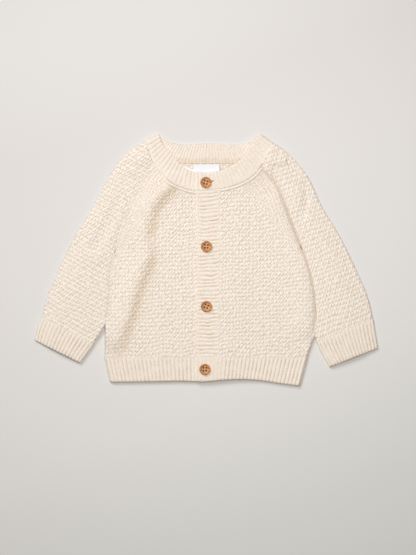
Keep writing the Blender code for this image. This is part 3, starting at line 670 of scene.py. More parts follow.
def woven_tape():
    """White label tape with a fine plain weave."""
    paint = Paint("label_tape", 0.55, sheen=0.1)
    paint.set({"Base Color": (0.835, 0.845, 0.885, 1)})
    threads = {"Vector": paint.places(), "Scale": 700.0}
    across_tape, along_tape = (paint.node("TexWave", threads, bands_direction=way) for way in ("X", "Y"))
    crossed = {0: across_tape.outputs["Fac"], 1: along_tape.outputs["Fac"]}
    paint.bump(paint.node("Math", crossed, operation="MULTIPLY").outputs[0], 0.0001, 0.35)
    return paint.material


def olive_wood():
    """Caramel wood with grain across the button, darker towards its rim."""
    paint = Paint("button_wood", 0.42)
    paint.set({"Coat Weight": 0.15, "Coat Roughness": 0.25})
    stretched = paint.node("Mapping", {"Vector": paint.places(), "Scale": (1.0, 6.0, 1.0)}).outputs["Vector"]
    grain = paint.noise(stretched, 260.0, 5.0, 1.2)
    browns = ((0.32, (0.24, 0.07, 0.014)), (0.48, (0.54, 0.22, 0.06)), (0.64, (0.82, 0.43, 0.15)))
    rim_darkening = paint.ramp(paint.reading("rim"), ((0.0, WHITE), (1.0, (0.84, 0.82, 0.80))))
    paint.set({"Base Color": paint.times(paint.ramp(grain, browns), rim_darkening)})
    paint.bump(grain, 0.00012, 0.4)
    return paint.material


def sewing_thread(name, dark, light):
    paint = Paint(name, 0.7, sheen=0.2)
    twist = paint.noise(paint.places(), 3000.0)
    paint.set({"Base Color": paint.ramp(twist, ((0.3, dark), (0.7, light)))})
    return paint.material


# Each cotton's first colour is painted shade for the crevices and its last a lighter colour for the tops of
# the stitches.
moss_cotton = cotton("cotton_moss", (0.735, 0.63, 0.525), (0.94, 0.868, 0.788), (0.972, 0.928, 0.87))
rib_cotton = cotton("cotton_rib", (0.56, 0.37, 0.23), (0.878, 0.783, 0.683), (0.915, 0.843, 0.757))


# --- body ---
DENSE = 16  # rows of a shell for each row of its solid
RAGLAN_ROWS = 8 * DENSE + 1
RIB_COLUMNS = 8  # for each rib or ridge
MOSS_DEPTH = (-0.28, 0.24)
RIB_DEPTH = (-0.30, RIB_RELIEF + 0.05)
FLAT_DEPTH = (-0.8, 0.0)  # on an underside, which rests


def body_edge(side, raglan, inset):
    """A body panel's edge from the hem rib up to the neck, the way out of it, and how far it rolls."""
    below = evenly(BODY_SIDE[side], 11 * DENSE + 1)[::-1]
    line = np.concatenate((below, evenly(raglan[side], RAGLAN_ROWS)[::-1][1:]))
    underarm = below[-1, 1]
    amount = past_underarm(underarm, line[:, 1])
    square = across(line) * -MIRROR[side]
    level = np.array((MIRROR[side], 0.0))
    away = unit((1 - amount)[:, None] * square + amount[:, None] * level)
    moved = JOIN / 2 + inset * past_underarm(underarm + UNDERARM_LENGTH, line[:, 1])
    line = line - away * moved[:, None]
    line[0, 1] = HEM_TOP_Y + JOIN / 2
    return line, away, amount


def unrolled(plan, edge_points, away):
    """Plan places of a panel and, laid out flat beyond its last column, of the columns that roll off it."""
    walk = joined(with_height(plan[:, -1:], edge_points[:, :1, 2]), edge_points)
    distance = lengths_along(walk, 1)[:, 1:]
    return joined(plan, plan[:, -1:] + away[:, None] * distance[..., None])


def seam_dip(side, flat, base):
    """Lowers the cloth beside the raglan and side seam; returns the share by which it is in the dip."""
    line = RAGLAN[side] + BODY_SIDE[side][1:5]
    distance, beyond, share = place_by(line, flat, 100)
    at_neck, at_underarm, at_end = SEAM_DIP[side]
    depths = (0.3 * at_neck, at_neck, at_underarm, at_end, 0.4 * at_end)
    depth = np.interp(share, DIP_PLACES, depths)
    near = np.exp(-((distance / DIP_WIDTH) ** 2) - (beyond / DIP_FADE) ** 2)
    base[..., 2] -= depth * near * np.clip(base[..., 2] / DIP_FULL_HEIGHT, 0, 1)
    return near * np.minimum(depth, 1)


def raglan_band(relief, side, flat):
    """The relief with the smooth, fully fashioned band along the raglan laid over it."""
    from_seam = place_by(RAGLAN[side], flat, 60)
    seam_length = np.linalg.norm(np.subtract(RAGLAN[side][-1], RAGLAN[side][0]))
    wale, course = np.abs(from_seam[0]) / STITCH, from_seam[2] * seam_length / SMOOTH_COURSE
    chevron = np.cos(2 * math.pi * (course + CHEVRON * np.abs(wale % 1 - 0.5)))
    smooth = SMOOTH_MEAN + SMOOTH_RELIEF * (np.cos(2 * math.pi * wale) + chevron)
    inside = -place_by(RAGLAN_BAND[side], flat, 60)[0] * MIRROR[side] + 1.6 * wander(flat, 13, 15)
    return blended(relief, smooth, smooth_step(0.5 - inside / SMOOTH_FADE))


def linked_row(relief, flat):
    """The relief with the round row that links the neckband on and the grooves beside it, where they show."""
    below_neck = -place_by(NECK_SEAM, flat, 80)[0]
    loops = wave(flat[..., 0] / STITCH)
    row = np.sqrt(np.maximum(1 - ((below_neck - ROW_MIDDLE) / ROW_HALF_WIDTH) ** 2, 0))
    ridge = np.maximum(0.8 * smooth_step(0.9 - below_neck), 0.85 * row)
    grooves = sum(np.exp(-(((below_neck - middle) / width) ** 2)) for middle, width in ROW_GROOVES)
    link = ridge * (0.85 + 0.15 * loops) - 0.7 * grooves * (1 - 0.5 * loops)
    shows = smooth_step((flat[..., 0] - LINK_SHOWS_X) / 8)
    return blended(relief, link, (1 - smooth_step(below_neck - ROW_END)) * shows)


def front(side):
    lapped = side == "left"
    centre_x = BAND_SEAM_X + JOIN / 2 if lapped else BAND_FREE_X - JOIN / 2
    edge, away, amount = body_edge(side, RAGLAN, 0.0)
    edge = edge + away * (amount * side_lean(side, edge[:, 1]))[:, None]
    panel_edge = edge - away * EDGE_ROLL
    columns = 221
    neck = stretch(NECK_SEAM, centre_x, panel_edge[-1, 0], columns, -JOIN * MIRROR[side])
    panel_edge[-1] = neck[-1]
    away[-1] = unit(edge[-1] - panel_edge[-1])
    centre = np.linspace((centre_x, HEM_TOP_Y + JOIN / 2), neck[0], len(edge))
    plan = patch(np.linspace(centre[0], panel_edge[0], columns), neck, centre, panel_edge)
    drop = side_drop(side, edge[:, 1])
    base, inner, roll = rolled_panel(plan, lapped, edge, away, amount, WALL, np.zeros(len(edge)), drop)
    flat = unrolled(plan, roll, away)

    place = strayed(flat, 1.1, 3)
    rise = math.tan(math.radians(COURSE_TILT)) * place[..., 0]
    relief = stitches(place[..., 0] / STITCH, (place[..., 1] - rise) / COURSE, 11)
    relief = linked_row(raglan_band(relief, side, flat), flat)
    beside_band = 1 - smooth_step(np.abs(flat[..., 0] - centre_x) / 1.2)
    relief = relief + (MOSS_MEAN - relief) * beside_band + FUZZ * fuzz(flat, FUZZ_CELL, 17)
    # painted shade: the flattened relief also paints the seam dip in the crevice colour
    relief = relief * (1 - DIP_FLATTENS * seam_dip(side, flat, base))
    # painted shade: the long fold's side away from the light is painted warmer
    knit(f"front_{side}", base, inner, relief, MOSS_DEPTH, painted_shade=painted_fold_shade(flat))


def back():
    """The back: its outer face lies on the surface, and its inside shows in the neck."""
    right, left = (body_edge(side, BACK_RAGLAN, WALL + GAP)[0][::2] for side in ("right", "left"))
    columns = 193
    top = stretch(BACK_NECK_SEAM, right[-1, 0], left[-1, 0], columns, -JOIN)
    right[-1], left[-1] = top[0], top[-1]
    plan = patch(np.linspace(right[0], left[0], columns), top, right, left)
    relief = stitches(plan[..., 0] / STITCH, plan[..., 1] / COURSE, 13)
    inside = with_height(plan, WALL - 0.7 * (1 - relief))
    outside = with_height(plan, 0.0)
    # painted shade: the inside that shows in the neck gets half the relief's share in colour, so it is
    # painted deeper, as in the neckband's shade
    knit("back_panel", outside, inside, relief, FLAT_DEPTH, looks_up=False, coarse=1, shade=0.5)


def hem_plan(low_x, top_x, heights):
    """Plan grid of a hem rib from the x of its columns at its lower and its upper end."""
    low = np.stack((low_x, y_on(HEM_BOTTOM, low_x)), axis=1)
    top = np.stack((top_x, np.full(len(top_x), HEM_TOP_Y - JOIN / 2)), axis=1)
    return low + heights[:, None, None] * (top - low)


def rib_rows(depth):
    """Shares of a rib's depth for the rows of its shell, closer together at its rim, which is row 0."""
    return np.concatenate((np.linspace(0, EDGE_ROUND / depth, 5), np.linspace(0, 1, 39)[3:]))


def hem_front(side):
    centre_x = BAND_FREE_X + MIRROR[side] * JOIN / 2
    heights = rib_rows(HEM_DEPTH)
    away = np.tile((float(MIRROR[side]), 0.0), (len(heights), 1))
    edge = curve(HEM_SIDE[side][::-1])(heights) - away * (JOIN / 2)
    panel_edge = edge - away * EDGE_ROLL
    ribs = round(abs(panel_edge[-1, 0] - centre_x) / HEM_PITCH)
    places = np.linspace(0, 1, ribs * RIB_COLUMNS + 1)
    low_x, top_x = (centre_x + places * (panel_edge[end, 0] - centre_x) for end in (0, -1))
    plan = hem_plan(low_x, top_x, heights)
    edge[:, 1] = plan[:, -1, 1]
    rim, ones = rim_height(heights * HEM_DEPTH), np.ones(len(edge))
    base, inner, roll = rolled_panel(plan, side == "left", edge, away, ones, RIB_VALLEY, rim)
    flat = unrolled(plan, roll, away)
    beyond = np.linalg.norm(flat[:, len(places) :] - plan[:, -1:], axis=-1) / HEM_PITCH
    phase = 0.5 + joined(np.broadcast_to(places * ribs, plan.shape[:2]), ribs + beyond)
    beside_button = np.abs(flat[..., 0] - (BAND_FREE_X + BAND_SEAM_X) / 2) - 11
    strength = grown(beside_button, 8, 0.3) * grown(HEM_TOP_Y - flat[..., 1], 4, 0.3)
    relief = ribbing(phase, flat[..., 1], 21, strength)
    knit(f"hem_front_{side}", base, inner, relief, RIB_DEPTH, rib=True)


def hem_back():
    """Back hem rib: its ribbed face lies on the surface."""
    inset = RIB_VALLEY + 1.5 * GAP
    ribs = 48
    right, left = HEM_SIDE["right"], HEM_SIDE["left"]
    columns = ribs * RIB_COLUMNS + 1
    low_x, top_x = (np.linspace(right[end][0] + inset, left[end][0] - inset, columns) for end in (-1, 0))
    plan = hem_plan(low_x, top_x, np.linspace(0, 1, 41))
    phase = np.broadcast_to(np.linspace(0, ribs, columns), plan.shape[:2])
    relief = ribbing(phase, plan[..., 1], 22)
    outside, inside = with_height(plan, 0.0), with_height(plan, RIB_VALLEY)
    knit("hem_back", outside, inside, relief, FLAT_DEPTH, rib=True, looks_up=False)


# --- sleeves ---
def tube(edge, outer_line, ends, lower_edge, amount, wall, crown, places, rim, lower_columns, press, drop):
    """Grids of a flattened sleeve or cuff: outer points, inner points and their places laid out flat.

    Rows run down the arm, and columns from the inner edge, which rolls down, across the upper layer, round
    the fold and back along the surface.
    """
    inward = unit(edge - outer_line)
    panel_inner, panel_outer = edge - inward * EDGE_ROLL, outer_line + inward * EDGE_ROLL
    plan = panel_inner[:, None] + places[:, None] * (panel_outer - panel_inner)[:, None]
    shares = np.linspace(0, 1, lower_columns)
    lower = panel_outer[:, None] + shares[:, None] * (lower_edge - panel_outer)[:, None]
    if ends:
        plan, lower = follow(plan, ends[0]), follow(lower, ends[1])
    under = upper_layer(plan, crown=crown * 4 * places * (1 - places))
    upper = under + wall + rim[:, None]
    roll_outer, roll_inner = rolled_edge(edge, inward, upper[:, 0], amount, wall, drop)
    fold_outer, fold_inner = folded_edge(outer_line, -inward, upper[:, -1], wall)
    outer = joined(roll_outer[:, ::-1], with_height(plan, upper), fold_outer, with_height(lower, 0.0))
    inner = joined(roll_inner[:, ::-1], with_height(plan, under), fold_inner, with_height(lower, wall))
    for grid in (outer, inner):
        from_fold = np.linalg.norm(grid[..., :2] - outer_line[:, None], axis=-1)
        grid[..., 2] *= 1 - press[:, None] * (1 - smooth_step(from_fold / EDGE_PRESS_WIDTH))
    first, last = roll_outer.shape[1], roll_outer.shape[1] + len(places) - 1
    walk = lengths_along(outer, 1)
    before = walk[:, first : first + 1] - walk[:, :first]
    after = walk[:, last + 1 :] - walk[:, last : last + 1]
    rolled = plan[:, :1] + inward[:, None] * before[..., None]
    folded = plan[:, -1:] - inward[:, None] * after[..., None]
    return outer, inner, joined(rolled, plan, folded), (before, after)


def follow(plan, first_row):
    """The grid with its first row laid along a line, and the next rows following it less and less."""
    bow = first_row - plan[0]
    fade = 1 - smooth_step(np.linspace(0, 1, len(plan)) / BOW_SHARE)
    return plan + fade[:, None, None] * bow


def sleeve(side):
    raglan, below = evenly(RAGLAN[side], RAGLAN_ROWS), evenly(SLEEVE_INNER[side], 9 * DENSE + 1)
    inner_line = np.concatenate((raglan, below[1:]))
    lower_line = np.concatenate((evenly(BACK_RAGLAN[side], RAGLAN_ROWS), below[1:]))
    outer_line = evenly(SLEEVE_OUTER[side], len(inner_line))
    underarm = below[0, 1]
    amount = past_underarm(underarm, inner_line[:, 1])
    tucked = past_underarm(underarm + UNDERARM_LENGTH, lower_line[:, 1])
    towards_body = across(inner_line) * -MIRROR[side]
    edge = inner_line - towards_body * (JOIN / 2 - amount * side_lean(side, inner_line[:, 1]))[:, None]
    lower_clear = JOIN / 2 + tucked * (WALL + GAP + UNDERARM_CLEARANCE)
    lower_edge = lower_line - unit(edge - outer_line) * lower_clear[:, None]
    rows = np.linspace(0, 1, len(edge))
    places = np.linspace(0, 1, 101)
    lower_columns = 41
    shift = JOIN * -MIRROR[side]
    neck = stretch(NECK_SEAM, raglan[0, 0], outer_line[0, 0], 60, shift)
    back_neck = stretch(BACK_NECK_SEAM, outer_line[0, 0], lower_line[0, 0], 60, -shift)
    edge[0], outer_line[0], lower_edge[0] = neck[0], neck[-1], back_neck[-1]
    roll = EDGE_ROLL / lengths_along(neck, 0)[-1]
    upper_end = curve(neck)(roll + (1 - 2 * roll) * places)
    lower_end = evenly(back_neck, lower_columns)
    lower_end[0] = upper_end[-1]
    crown = SLEEVE_CROWN * (1 - 0.5 * smooth_step((rows - 0.75) / 0.25))[:, None]
    press, drop = EDGE_PRESS * smooth_step(rows / 0.15), side_drop(side, edge[:, 1])
    base, inner, flat, _ = tube(
        edge, outer_line, (upper_end, lower_end), lower_edge, amount, WALL, crown, places, 0 * rows,
        lower_columns, press, drop,
    )
    wale_lean, course_lean = math.radians(SLEEVE_WALE_LEAN[side]), math.radians(SLEEVE_COURSE_LEAN[side])
    place = strayed(flat, 1.0, 5)
    wale = place @ np.array((math.cos(wale_lean), -math.sin(wale_lean))) / SLEEVE_STITCH[side]
    course = place @ np.array((math.sin(course_lean), math.cos(course_lean))) / SLEEVE_COURSE[side]
    relief = stitches(wale, course, 14) + FUZZ * fuzz(flat, FUZZ_CELL, 18)
    # painted shade: the flattened relief also paints the seam dip in the crevice colour
    relief = relief * (1 - DIP_FLATTENS * seam_dip(side, flat, base))
    knit(f"sleeve_{side}", base, inner, relief, MOSS_DEPTH)


def cuff(side):
    shares = 1 - rib_rows(HEM_DEPTH)[::-1]
    inner_line, outer_line = curve(CUFF_INNER[side])(shares), curve(CUFF_OUTER[side])(shares)
    along = unit(inner_line[-1] - inner_line[0])
    inner_line[0] += along * JOIN
    outer_line[0] += along * JOIN
    inward = unit(inner_line - outer_line)
    edge = inner_line - inward * (JOIN / 2 + UNDERARM_CLEARANCE)
    lower_edge = edge - inward * (WALL + GAP)
    width = np.linalg.norm(edge[1] - outer_line[1]) - 2 * EDGE_ROLL
    ribs = round(width / CUFF_PITCH)
    places = np.linspace(0, 1, ribs * RIB_COLUMNS + 1)
    rim, ones = rim_height((1 - shares) * HEM_DEPTH), np.ones(len(edge))
    base, inner, _, (before, after) = tube(
        edge, outer_line, None, lower_edge, ones, RIB_VALLEY, SLEEVE_CROWN / 2, places, rim, 81,
        EDGE_PRESS * ones, ROLL_DROP,
    )
    upper_ribs = np.broadcast_to(places * ribs, (len(edge), len(places)))
    phase = joined(-before / CUFF_PITCH, upper_ribs, ribs + after / CUFF_PITCH)
    down = np.broadcast_to((shares * HEM_DEPTH)[:, None], phase.shape)
    relief = ribbing(phase, down, 23, grown(down, 4, 0.3))
    knit(f"cuff_{side}", base, inner, relief, RIB_DEPTH, rib=True)


# --- neckband, front bands and label ---
LABEL_X = (-30.4, 15.4)
LABEL_LOW_Y = 99.0
LABEL_TOP_Y = 112.4
LABEL_FOLD_X = -15.7  # left of here its top is folded down
LABEL_SLANT = 0.40


def buttonhole(plan):
    """Depth, as a share of the rib's relief, of what shows of the top buttonhole beside its button."""
    (left_x, right_x), y = TOP_BUTTONHOLE
    inside = (plan[..., 0] > left_x) * smooth_step((right_x - plan[..., 0]) / 0.8)
    return 1.2 * inside * np.exp(-(((plan[..., 1] - y) / 0.8) ** 2))


def neckband_front(side):
    """One half of the front neckband, rolled down at the shoulder over the end of the back neckband."""
    lapped = side == "left"
    centre_x = BAND_FREE_X + MIRROR[side] * JOIN / 2
    end = -1 if lapped else 0
    free_line, seam_line = (stretch(line, centre_x, line[end][0], 160) for line in (NECK_EDGE, NECK_SEAM))
    length = lengths_along((free_line + seam_line) / 2, 0)[-1]
    ribs = round((length - EDGE_ROLL) / NECK_FRONT_PITCH)
    places = np.linspace(0, 1, ribs * RIB_COLUMNS + 1)
    stop = 1 - EDGE_ROLL / length
    free, seam = curve(free_line)(places * stop), curve(seam_line)(places * stop)
    heights = rib_rows(NECKBAND_DEPTH)
    plan = free + heights[:, None, None] * (seam - free)
    tip = free_line[-1] + heights[:, None] * (seam_line[-1] - free_line[-1])
    away = unit(tip - plan[:, -1])
    rim, ones = rim_height(heights * NECKBAND_DEPTH), np.ones(len(tip))
    base, inner, roll = rolled_panel(plan, lapped, tip, away, ones, RIB_VALLEY, rim)
    beyond = (lengths_along(roll, 1) + 0.5) / NECK_FRONT_PITCH
    phase = 0.5 + joined(np.broadcast_to(places * ribs, plan.shape[:2]), ribs + beyond)
    down = np.broadcast_to((heights * NECKBAND_DEPTH)[:, None], phase.shape)
    strength = 0.45 if lapped else 0.6
    relief = ribbing(phase, down, 24, 0.2 + strength * smooth_step((NECKBAND_DEPTH - down) / 7))
    if lapped:
        relief[:, : len(places)] -= buttonhole(plan)
    knit(f"neckband_{side}", base, inner, relief, RIB_DEPTH, rib=True)


def neckband_back():
    """Back neckband, flat on the surface, seen from its inside, whose lower part is fainter and painted
    deeper in colour as shade.
    """
    free_line, seam_line = evenly(BACK_NECK_EDGE, 160), evenly(BACK_NECK_SEAM, 160)
    length = lengths_along((free_line + seam_line) / 2, 0)[-1]
    clear = (RIB_VALLEY + 2 * GAP) / length
    ribs = round(length / NECK_BACK_PITCH)
    places = clear + np.linspace(0, 1, ribs * RIB_COLUMNS + 1) * (1 - 2 * clear)
    free, seam = curve(free_line)(places), curve(seam_line)(places)
    heights = rib_rows(NECKBAND_DEPTH)
    plan = free + heights[:, None, None] * (seam - free)
    phase = np.broadcast_to(np.linspace(0, ribs, len(places)), plan.shape[:2])
    down = np.broadcast_to((heights * NECKBAND_DEPTH)[:, None], phase.shape)
    lower = smooth_step((down - 14 + 1.2 * wander(plan, 12, 28)) / 5)
    relief = ribbing(phase, down, 25, 0.72 - 0.4 * lower)
    face, underside = with_height(plan, RIB_VALLEY), with_height(plan, 0.5 * (1 - relief))
    # painted shade: the lower part's yarn gets less of the relief's share, so it is painted deeper in colour
    depth, shade = (-0.3, RIB_RELIEF), 1 - 0.6 * lower
    knit("neckband_back", face, underside, relief, depth, rib=True, coarse=1, shade=shade)


def ridges(phase, along, seed):
    """Relief of garter ridges: rows of purl bumps across the band."""
    bumps = wave(along / STITCH + 0.5 * np.floor(phase))
    jitter = wander(np.stack((along, phase * 4), axis=-1), 9.0, seed)
    return (0.05 + 0.95 * rib_wave(phase) ** 1.4) * (0.84 + 0.12 * bumps + 0.05 * jitter)


def band(node, x, low_y, top_y, count, wall, lapped, seed):
    """A front band, with its ridges running across it, fainter towards its edges and ends."""
    places = np.linspace(0, 1, count * RIB_COLUMNS + 1)
    low, top = np.stack((x, low_y), axis=1), np.stack((x, top_y), axis=1)
    plan = low + places[:, None, None] * (top - low)
    under = upper_layer(plan, lapped)
    phase = places[:, None] * count + 0.13 * wander(plan, 22.0, seed + 3)
    relief = ridges(phase, plan[..., 0], seed)
    to_seam = x[-1] - plan[..., 0] + 2.5 * wander(plan, 13.0, seed + 1)
    to_end = np.minimum(plan[..., 1] - plan[0, :, 1], plan[-1, :, 1] - plan[..., 1])
    strength = (0.4 + 0.65 * smooth_step(to_seam / 4)) * grown(to_end, 3, 0.25)
    strength = strength * grown(plan[..., 0] - x[0], 5, 0.45) * (1 + 0.25 * wander(plan, 16.0, seed + 4))
    relief = RIB_MEAN + (relief - RIB_MEAN) * strength + 0.06 * fuzz(plan, 1.3, seed + 2)
    base = with_height(plan, under + wall + rim_height(x - x[0]))
    depth, rests_on = ((-0.35, 0.5), "button_band") if lapped else ((-0.3, 0.0), "front_right")
    knit(node, base, with_height(plan, under), relief, depth, rib=True)


def front_bands():
    """The upper band, with ridges down to the hem rib, and the underlap, whose ends stay back."""
    x = np.linspace(BAND_FREE_X + JOIN / 2, BAND_SEAM_X - JOIN / 2, 41)
    low_y, top_y = np.full(len(x), HEM_TOP_Y + JOIN / 2), y_on(NECK_SEAM, x) - JOIN
    count = round((y_on(NECK_SEAM, BAND_FREE_X) - HEM_TOP_Y) / RIDGE_PITCH)
    band("buttonhole_band", x, low_y, top_y, count, RIB_VALLEY, True, 26)
    x = np.linspace(BAND_FREE_X + GAP / 2, BAND_SEAM_X - GAP, 25)
    low_y, top_y = y_on(HEM_BOTTOM, x) + UNDERLAP_INSET, y_on(NECK_EDGE, x) - UNDERLAP_INSET
    band("button_band", x, low_y, top_y, 52, UNDERLAP_WALL, False, 27)


def label():
    """Blank woven label: its left part is folded down at a slant."""
    x = np.linspace(*LABEL_X, 93)
    slanted = LABEL_TOP_Y - (x - LABEL_X[0]) * LABEL_SLANT
    top = np.where(x < LABEL_FOLD_X, slanted, LABEL_TOP_Y + 0.016 * (x - LABEL_FOLD_X))
    low = np.full(len(x), LABEL_LOW_Y)
    shares = np.linspace(0, 1, 17)[:, None]
    plan = np.stack((np.broadcast_to(x, (17, len(x))), low + shares * (top - low)), axis=-1)
    lift = LAYER_1 + 0.18 * wander(plan, 14.0, 31)
    outer, inner = with_height(plan, lift + LABEL_WALL), with_height(plan, lift)
    _, turned = outward(outer)
    piece = shell("woven_label", outer, inner, np.ones(plan.shape[:2]), turned, tape, coarse=1)
    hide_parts("neck_label")


# --- buttons ---
BUTTON_PROFILE = (  # radius and height, from the middle of the face over the rim to the middle of the back
    (0.0, 1.55), (2.0, 1.5), (3.5, 1.55), (4.1, 1.75), (4.6, 2.3), (5.1, 2.58), (5.6, 2.6), (6.1, 2.35),
    (6.4, 1.85), (6.5, 1.3), (6.35, 0.75), (5.7, 0.2), (4.6, 0.0), (0.0, 0.0),
)
BUTTON_SIDES = 96
HOLE_RADIUS = 1.15
HOLE_OFFSET = 1.6
HOLES = [(x, y) for x in (-HOLE_OFFSET, HOLE_OFFSET) for y in (-HOLE_OFFSET, HOLE_OFFSET)]
RIM_FROM = 3.9  # radius from which the wood is darker
RIM_WIDTH = 2.2
BUTTON_SINK = 0.2  # a sewn-on button lies a little into the ridges
THREAD_RADIUS = 0.13
THREAD_SIDES = 10
THREAD_FOOT = 0.75  # height of the strands' ends
LOW_CREST = 1.05  # how far the lower pair of strands rises above its ends
HIGH_CREST = 1.35
KNOT_RADIUS = 1.1  # of the thread that fills the foot of a hole, painted dark as shade
KNOT_HEIGHTS = (0.05, 0.4)


def ring(middle, radius, sides, right=(1, 0, 0), ahead=(0, 1, 0)):
    """Points round a ring about its middle, in the plane of two directions."""
    turns = 2 * math.pi * np.arange(sides)[:, None] / sides
    spots = np.array(middle) + radius * (np.cos(turns) * right + np.sin(turns) * ahead)
    return (spots * MM).tolist()


def add_rings(points, faces, rings):
    """Adds a closed tube through rings of points to lists of points and faces."""
    start, sides = len(points), len(rings[0])
    for ring_points in rings:
        points.extend(ring_points)
    last = start + (len(rings) - 1) * sides
    for first in range(start, last, sides):
        for side in range(sides):
            here, after = first + side, first + (side + 1) % sides
            faces.append((here, after, after + sides, here + sides))
    faces.append(tuple(range(start, start + sides)))
    faces.append(tuple(range(last + sides - 1, last - 1, -1)))


def button_mesh():
    """A turned wooden button with a raised rim round a dished middle, and four holes."""
    profile = np.concatenate((evenly(BUTTON_PROFILE[:-1], 49), [BUTTON_PROFILE[-1]]))
    turned = bmesh.new()
    rings = []
    for radius, height in profile[1:-1]:
        rings.append([turned.verts.new(spot) for spot in ring((0, 0, height), radius, BUTTON_SIDES)])
    face_middle, back_middle = turned.verts.new((0, 0, profile[0][1] * MM)), turned.verts.new((0, 0, 0))
    for side in range(BUTTON_SIDES):
        after = (side + 1) % BUTTON_SIDES
        for upper, lower in zip(rings, rings[1:]):
            turned.faces.new((upper[side], lower[side], lower[after], upper[after]))
        turned.faces.new((face_middle, rings[0][side], rings[0][after]))
        turned.faces.new((back_middle, rings[-1][after], rings[-1][side]))
    blank = bpy.data.meshes.new("button_blank")
    turned.to_mesh(blank)
    turned.free()
    holder = bpy.data.objects.new("button_blank", blank)
    bpy.context.scene.collection.objects.link(holder)
    drills = []
    for x, y in HOLES:
        size = {"vertices": 24, "radius": HOLE_RADIUS * MM, "depth": 8 * MM}
        bpy.ops.mesh.primitive_cylinder_add(location=(x * MM, y * MM, 0), **size)
        drills.append(bpy.context.active_object)
        cut = holder.modifiers.new("hole", "BOOLEAN")
        cut.object = drills[-1]
        cut.solver = "EXACT"
    mesh = bpy.data.meshes.new_from_object(holder.evaluated_get(bpy.context.evaluated_depsgraph_get()))
    for extra in (holder, *drills):
        bpy.data.objects.remove(extra)
    radii = np.array([math.hypot(point.co.x, point.co.y) / MM for point in mesh.vertices])
    set_values(mesh, "rim", smooth_step((radii - RIM_FROM) / RIM_WIDTH))
    mesh.materials.clear()
    mesh.materials.append(wood)
    mesh.shade_smooth()
    mesh.set_sharp_from_angle(angle=math.radians(40))
    return mesh


def thread_mesh():
    """Two pairs of strands that cross each other over the middle of a button, from hole to hole."""
    points, faces = [], []
    reach = math.hypot(HOLE_OFFSET, HOLE_OFFSET) - 0.5 * HOLE_RADIUS
    for diagonal, crest in ((math.pi / 4, LOW_CREST), (3 * math.pi / 4, HIGH_CREST)):
        ahead = np.array((math.cos(diagonal), math.sin(diagonal), 0.0))
        beside = np.array((-ahead[1], ahead[0], 0.0))
        for strand in (-THREAD_RADIUS, THREAD_RADIUS):
            rings = []
            for share in np.linspace(0, 1, 17):
                rise, run = math.sin(math.pi * share), math.cos(math.pi * share)
                middle = beside * strand - ahead * reach * run
                middle[2] = THREAD_FOOT + crest * rise**0.5
                up = np.array((0.0, 0.0, rise)) - ahead * run
                rings.append(ring(middle, THREAD_RADIUS, THREAD_SIDES, beside, up))
            add_rings(points, faces, rings)
    strand_faces = len(faces)
    for x, y in HOLES:
        knot = [ring((x, y, height), KNOT_RADIUS, THREAD_SIDES) for height in KNOT_HEIGHTS]
        add_rings(points, faces, knot)
    mesh = bpy.data.meshes.new("button_thread")
    mesh.from_pydata(points, [], faces)
    shaping = bmesh.new()
    shaping.from_mesh(mesh)
    bmesh.ops.recalc_face_normals(shaping, faces=shaping.faces)
    shaping.to_mesh(mesh)
    shaping.free()
    mesh.shade_smooth()
    mesh.materials.append(thread)
    mesh.materials.append(shaded_thread)
    # painted shade: the knots at the foot of the holes get the darker copy of the thread
    for face in mesh.polygons[strand_faces:]:
        face.material_index = 1
    return mesh


def buttons():
    button, strands = button_mesh(), thread_mesh()
    for number, (x, y) in enumerate(BUTTONS, start=1):
        seat = upper_layer(np.array([(x, y)]), lapped=True)[0]
        height = seat + RIB_VALLEY + RIB_RELIEF - BUTTON_SINK
        turn = random.uniform(-0.5, 0.5)
        for name, mesh in ((f"wooden_button_{number}", button), (f"button_thread_{number}", strands)):
            piece = add_piece(name, mesh.copy())
            piece.location = (x * MM, y * MM, height * MM)
            piece.rotation_euler = (0, 0, turn)
            if mesh is button:
                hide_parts(f"button_{number}")


wood = olive_wood()
thread = sewing_thread("button_thread", (0.55, 0.31, 0.15), (0.85, 0.56, 0.34))
# painted shade: a much darker copy of the thread, for the knots that lie in the shade of the holes
shaded_thread = sewing_thread("shaded_thread", (0.12, 0.045, 0.014), (0.24, 0.10, 0.035))
tape = woven_tape()

back()
hem_back()
for side in ("right", "left"):
    front(side)
    hem_front(side)
    sleeve(side)
    cuff(side)
    neckband_front(side)
neckband_back()
front_bands()
label()
buttons()


# --- floor, light and camera ---
PAINTED_LIGHT_TONES = (  # painted light on the backdrop, from its lower right to its upper left, brighter where the light is nearer
    (0.0, (0.70, 0.71, 0.693)), (0.25, (0.748, 0.735, 0.718)), (0.6, (0.75, 0.733, 0.716)),
    (0.8, (0.738, 0.718, 0.702)), (1.0, (0.77, 0.758, 0.74)),
)


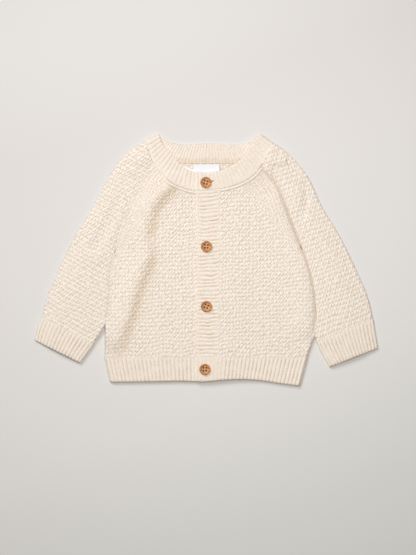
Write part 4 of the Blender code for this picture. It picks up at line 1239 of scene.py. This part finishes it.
def floor():
    """A sheet of paper with painted light, a little brighter to the upper left."""
    paint = Paint("paper", 0.9)
    paint.set({"Base Color": paint.ramp(paint.reading("painted_light_falloff"), PAINTED_LIGHT_TONES)})
    mesh = bpy.data.meshes.new("floor")
    corners = [(-4, -4, 0), (4, -4, 0), (4, 4, 0), (-4, 4, 0)]
    mesh.from_pydata(corners, [], [(0, 1, 2, 3)])
    # painted light: how far towards the upper left each corner lies
    set_values(mesh, "painted_light_falloff", [0.5 - 0.6 * x + 1.5 * y for x, y, _ in corners])
    mesh.materials.append(paint.material)
    plane = bpy.data.objects.new("floor", mesh)
    bpy.context.scene.collection.objects.link(plane)


def area_light(name, place, target, size, watts, colour):
    lamp = bpy.data.lights.new(name, "AREA")
    lamp.shape = "DISK"
    lamp.size = size
    lamp.energy = watts
    lamp.color = colour
    light = bpy.data.objects.new(name, lamp)
    light.location = place
    light.rotation_euler = (Vector(target) - Vector(place)).to_track_quat("-Z", "Y").to_euler()
    bpy.context.scene.collection.objects.link(light)


floor()
area_light("key", (-1.25, 1.87, 2.0), (0, 0, 0), 1.3, 50.0, (1.0, 0.995, 0.985))
area_light("overhead", (0.04, 0.05, 0.83), (0.04, 0.05, 0), 0.5, 3.75, WHITE)
world = bpy.data.worlds.new("studio")
world.use_nodes = True
background = world.node_tree.nodes["Background"].inputs
background["Color"].default_value = (1.0, 0.90, 0.79, 1)
background["Strength"].default_value = 0.20
bpy.context.scene.world = world
bpy.context.scene.view_settings.view_transform = "Standard"
bpy.context.scene.view_settings.look = "None"

FRAME_HEIGHT = 0.6549  # what the frame shows from top to bottom
CAMERA_HEIGHT = 2.2
camera = bpy.data.cameras.new("camera")
camera.sensor_fit = "VERTICAL"
camera.sensor_height = 24.0
camera.lens = 24.0 * CAMERA_HEIGHT / FRAME_HEIGHT
camera.clip_end = 20.0
camera_object = bpy.data.objects.new("camera", camera)
camera_object.location = (0.0018, -0.0207, CAMERA_HEIGHT)
bpy.context.scene.collection.objects.link(camera_object)
bpy.context.scene.camera = camera_object
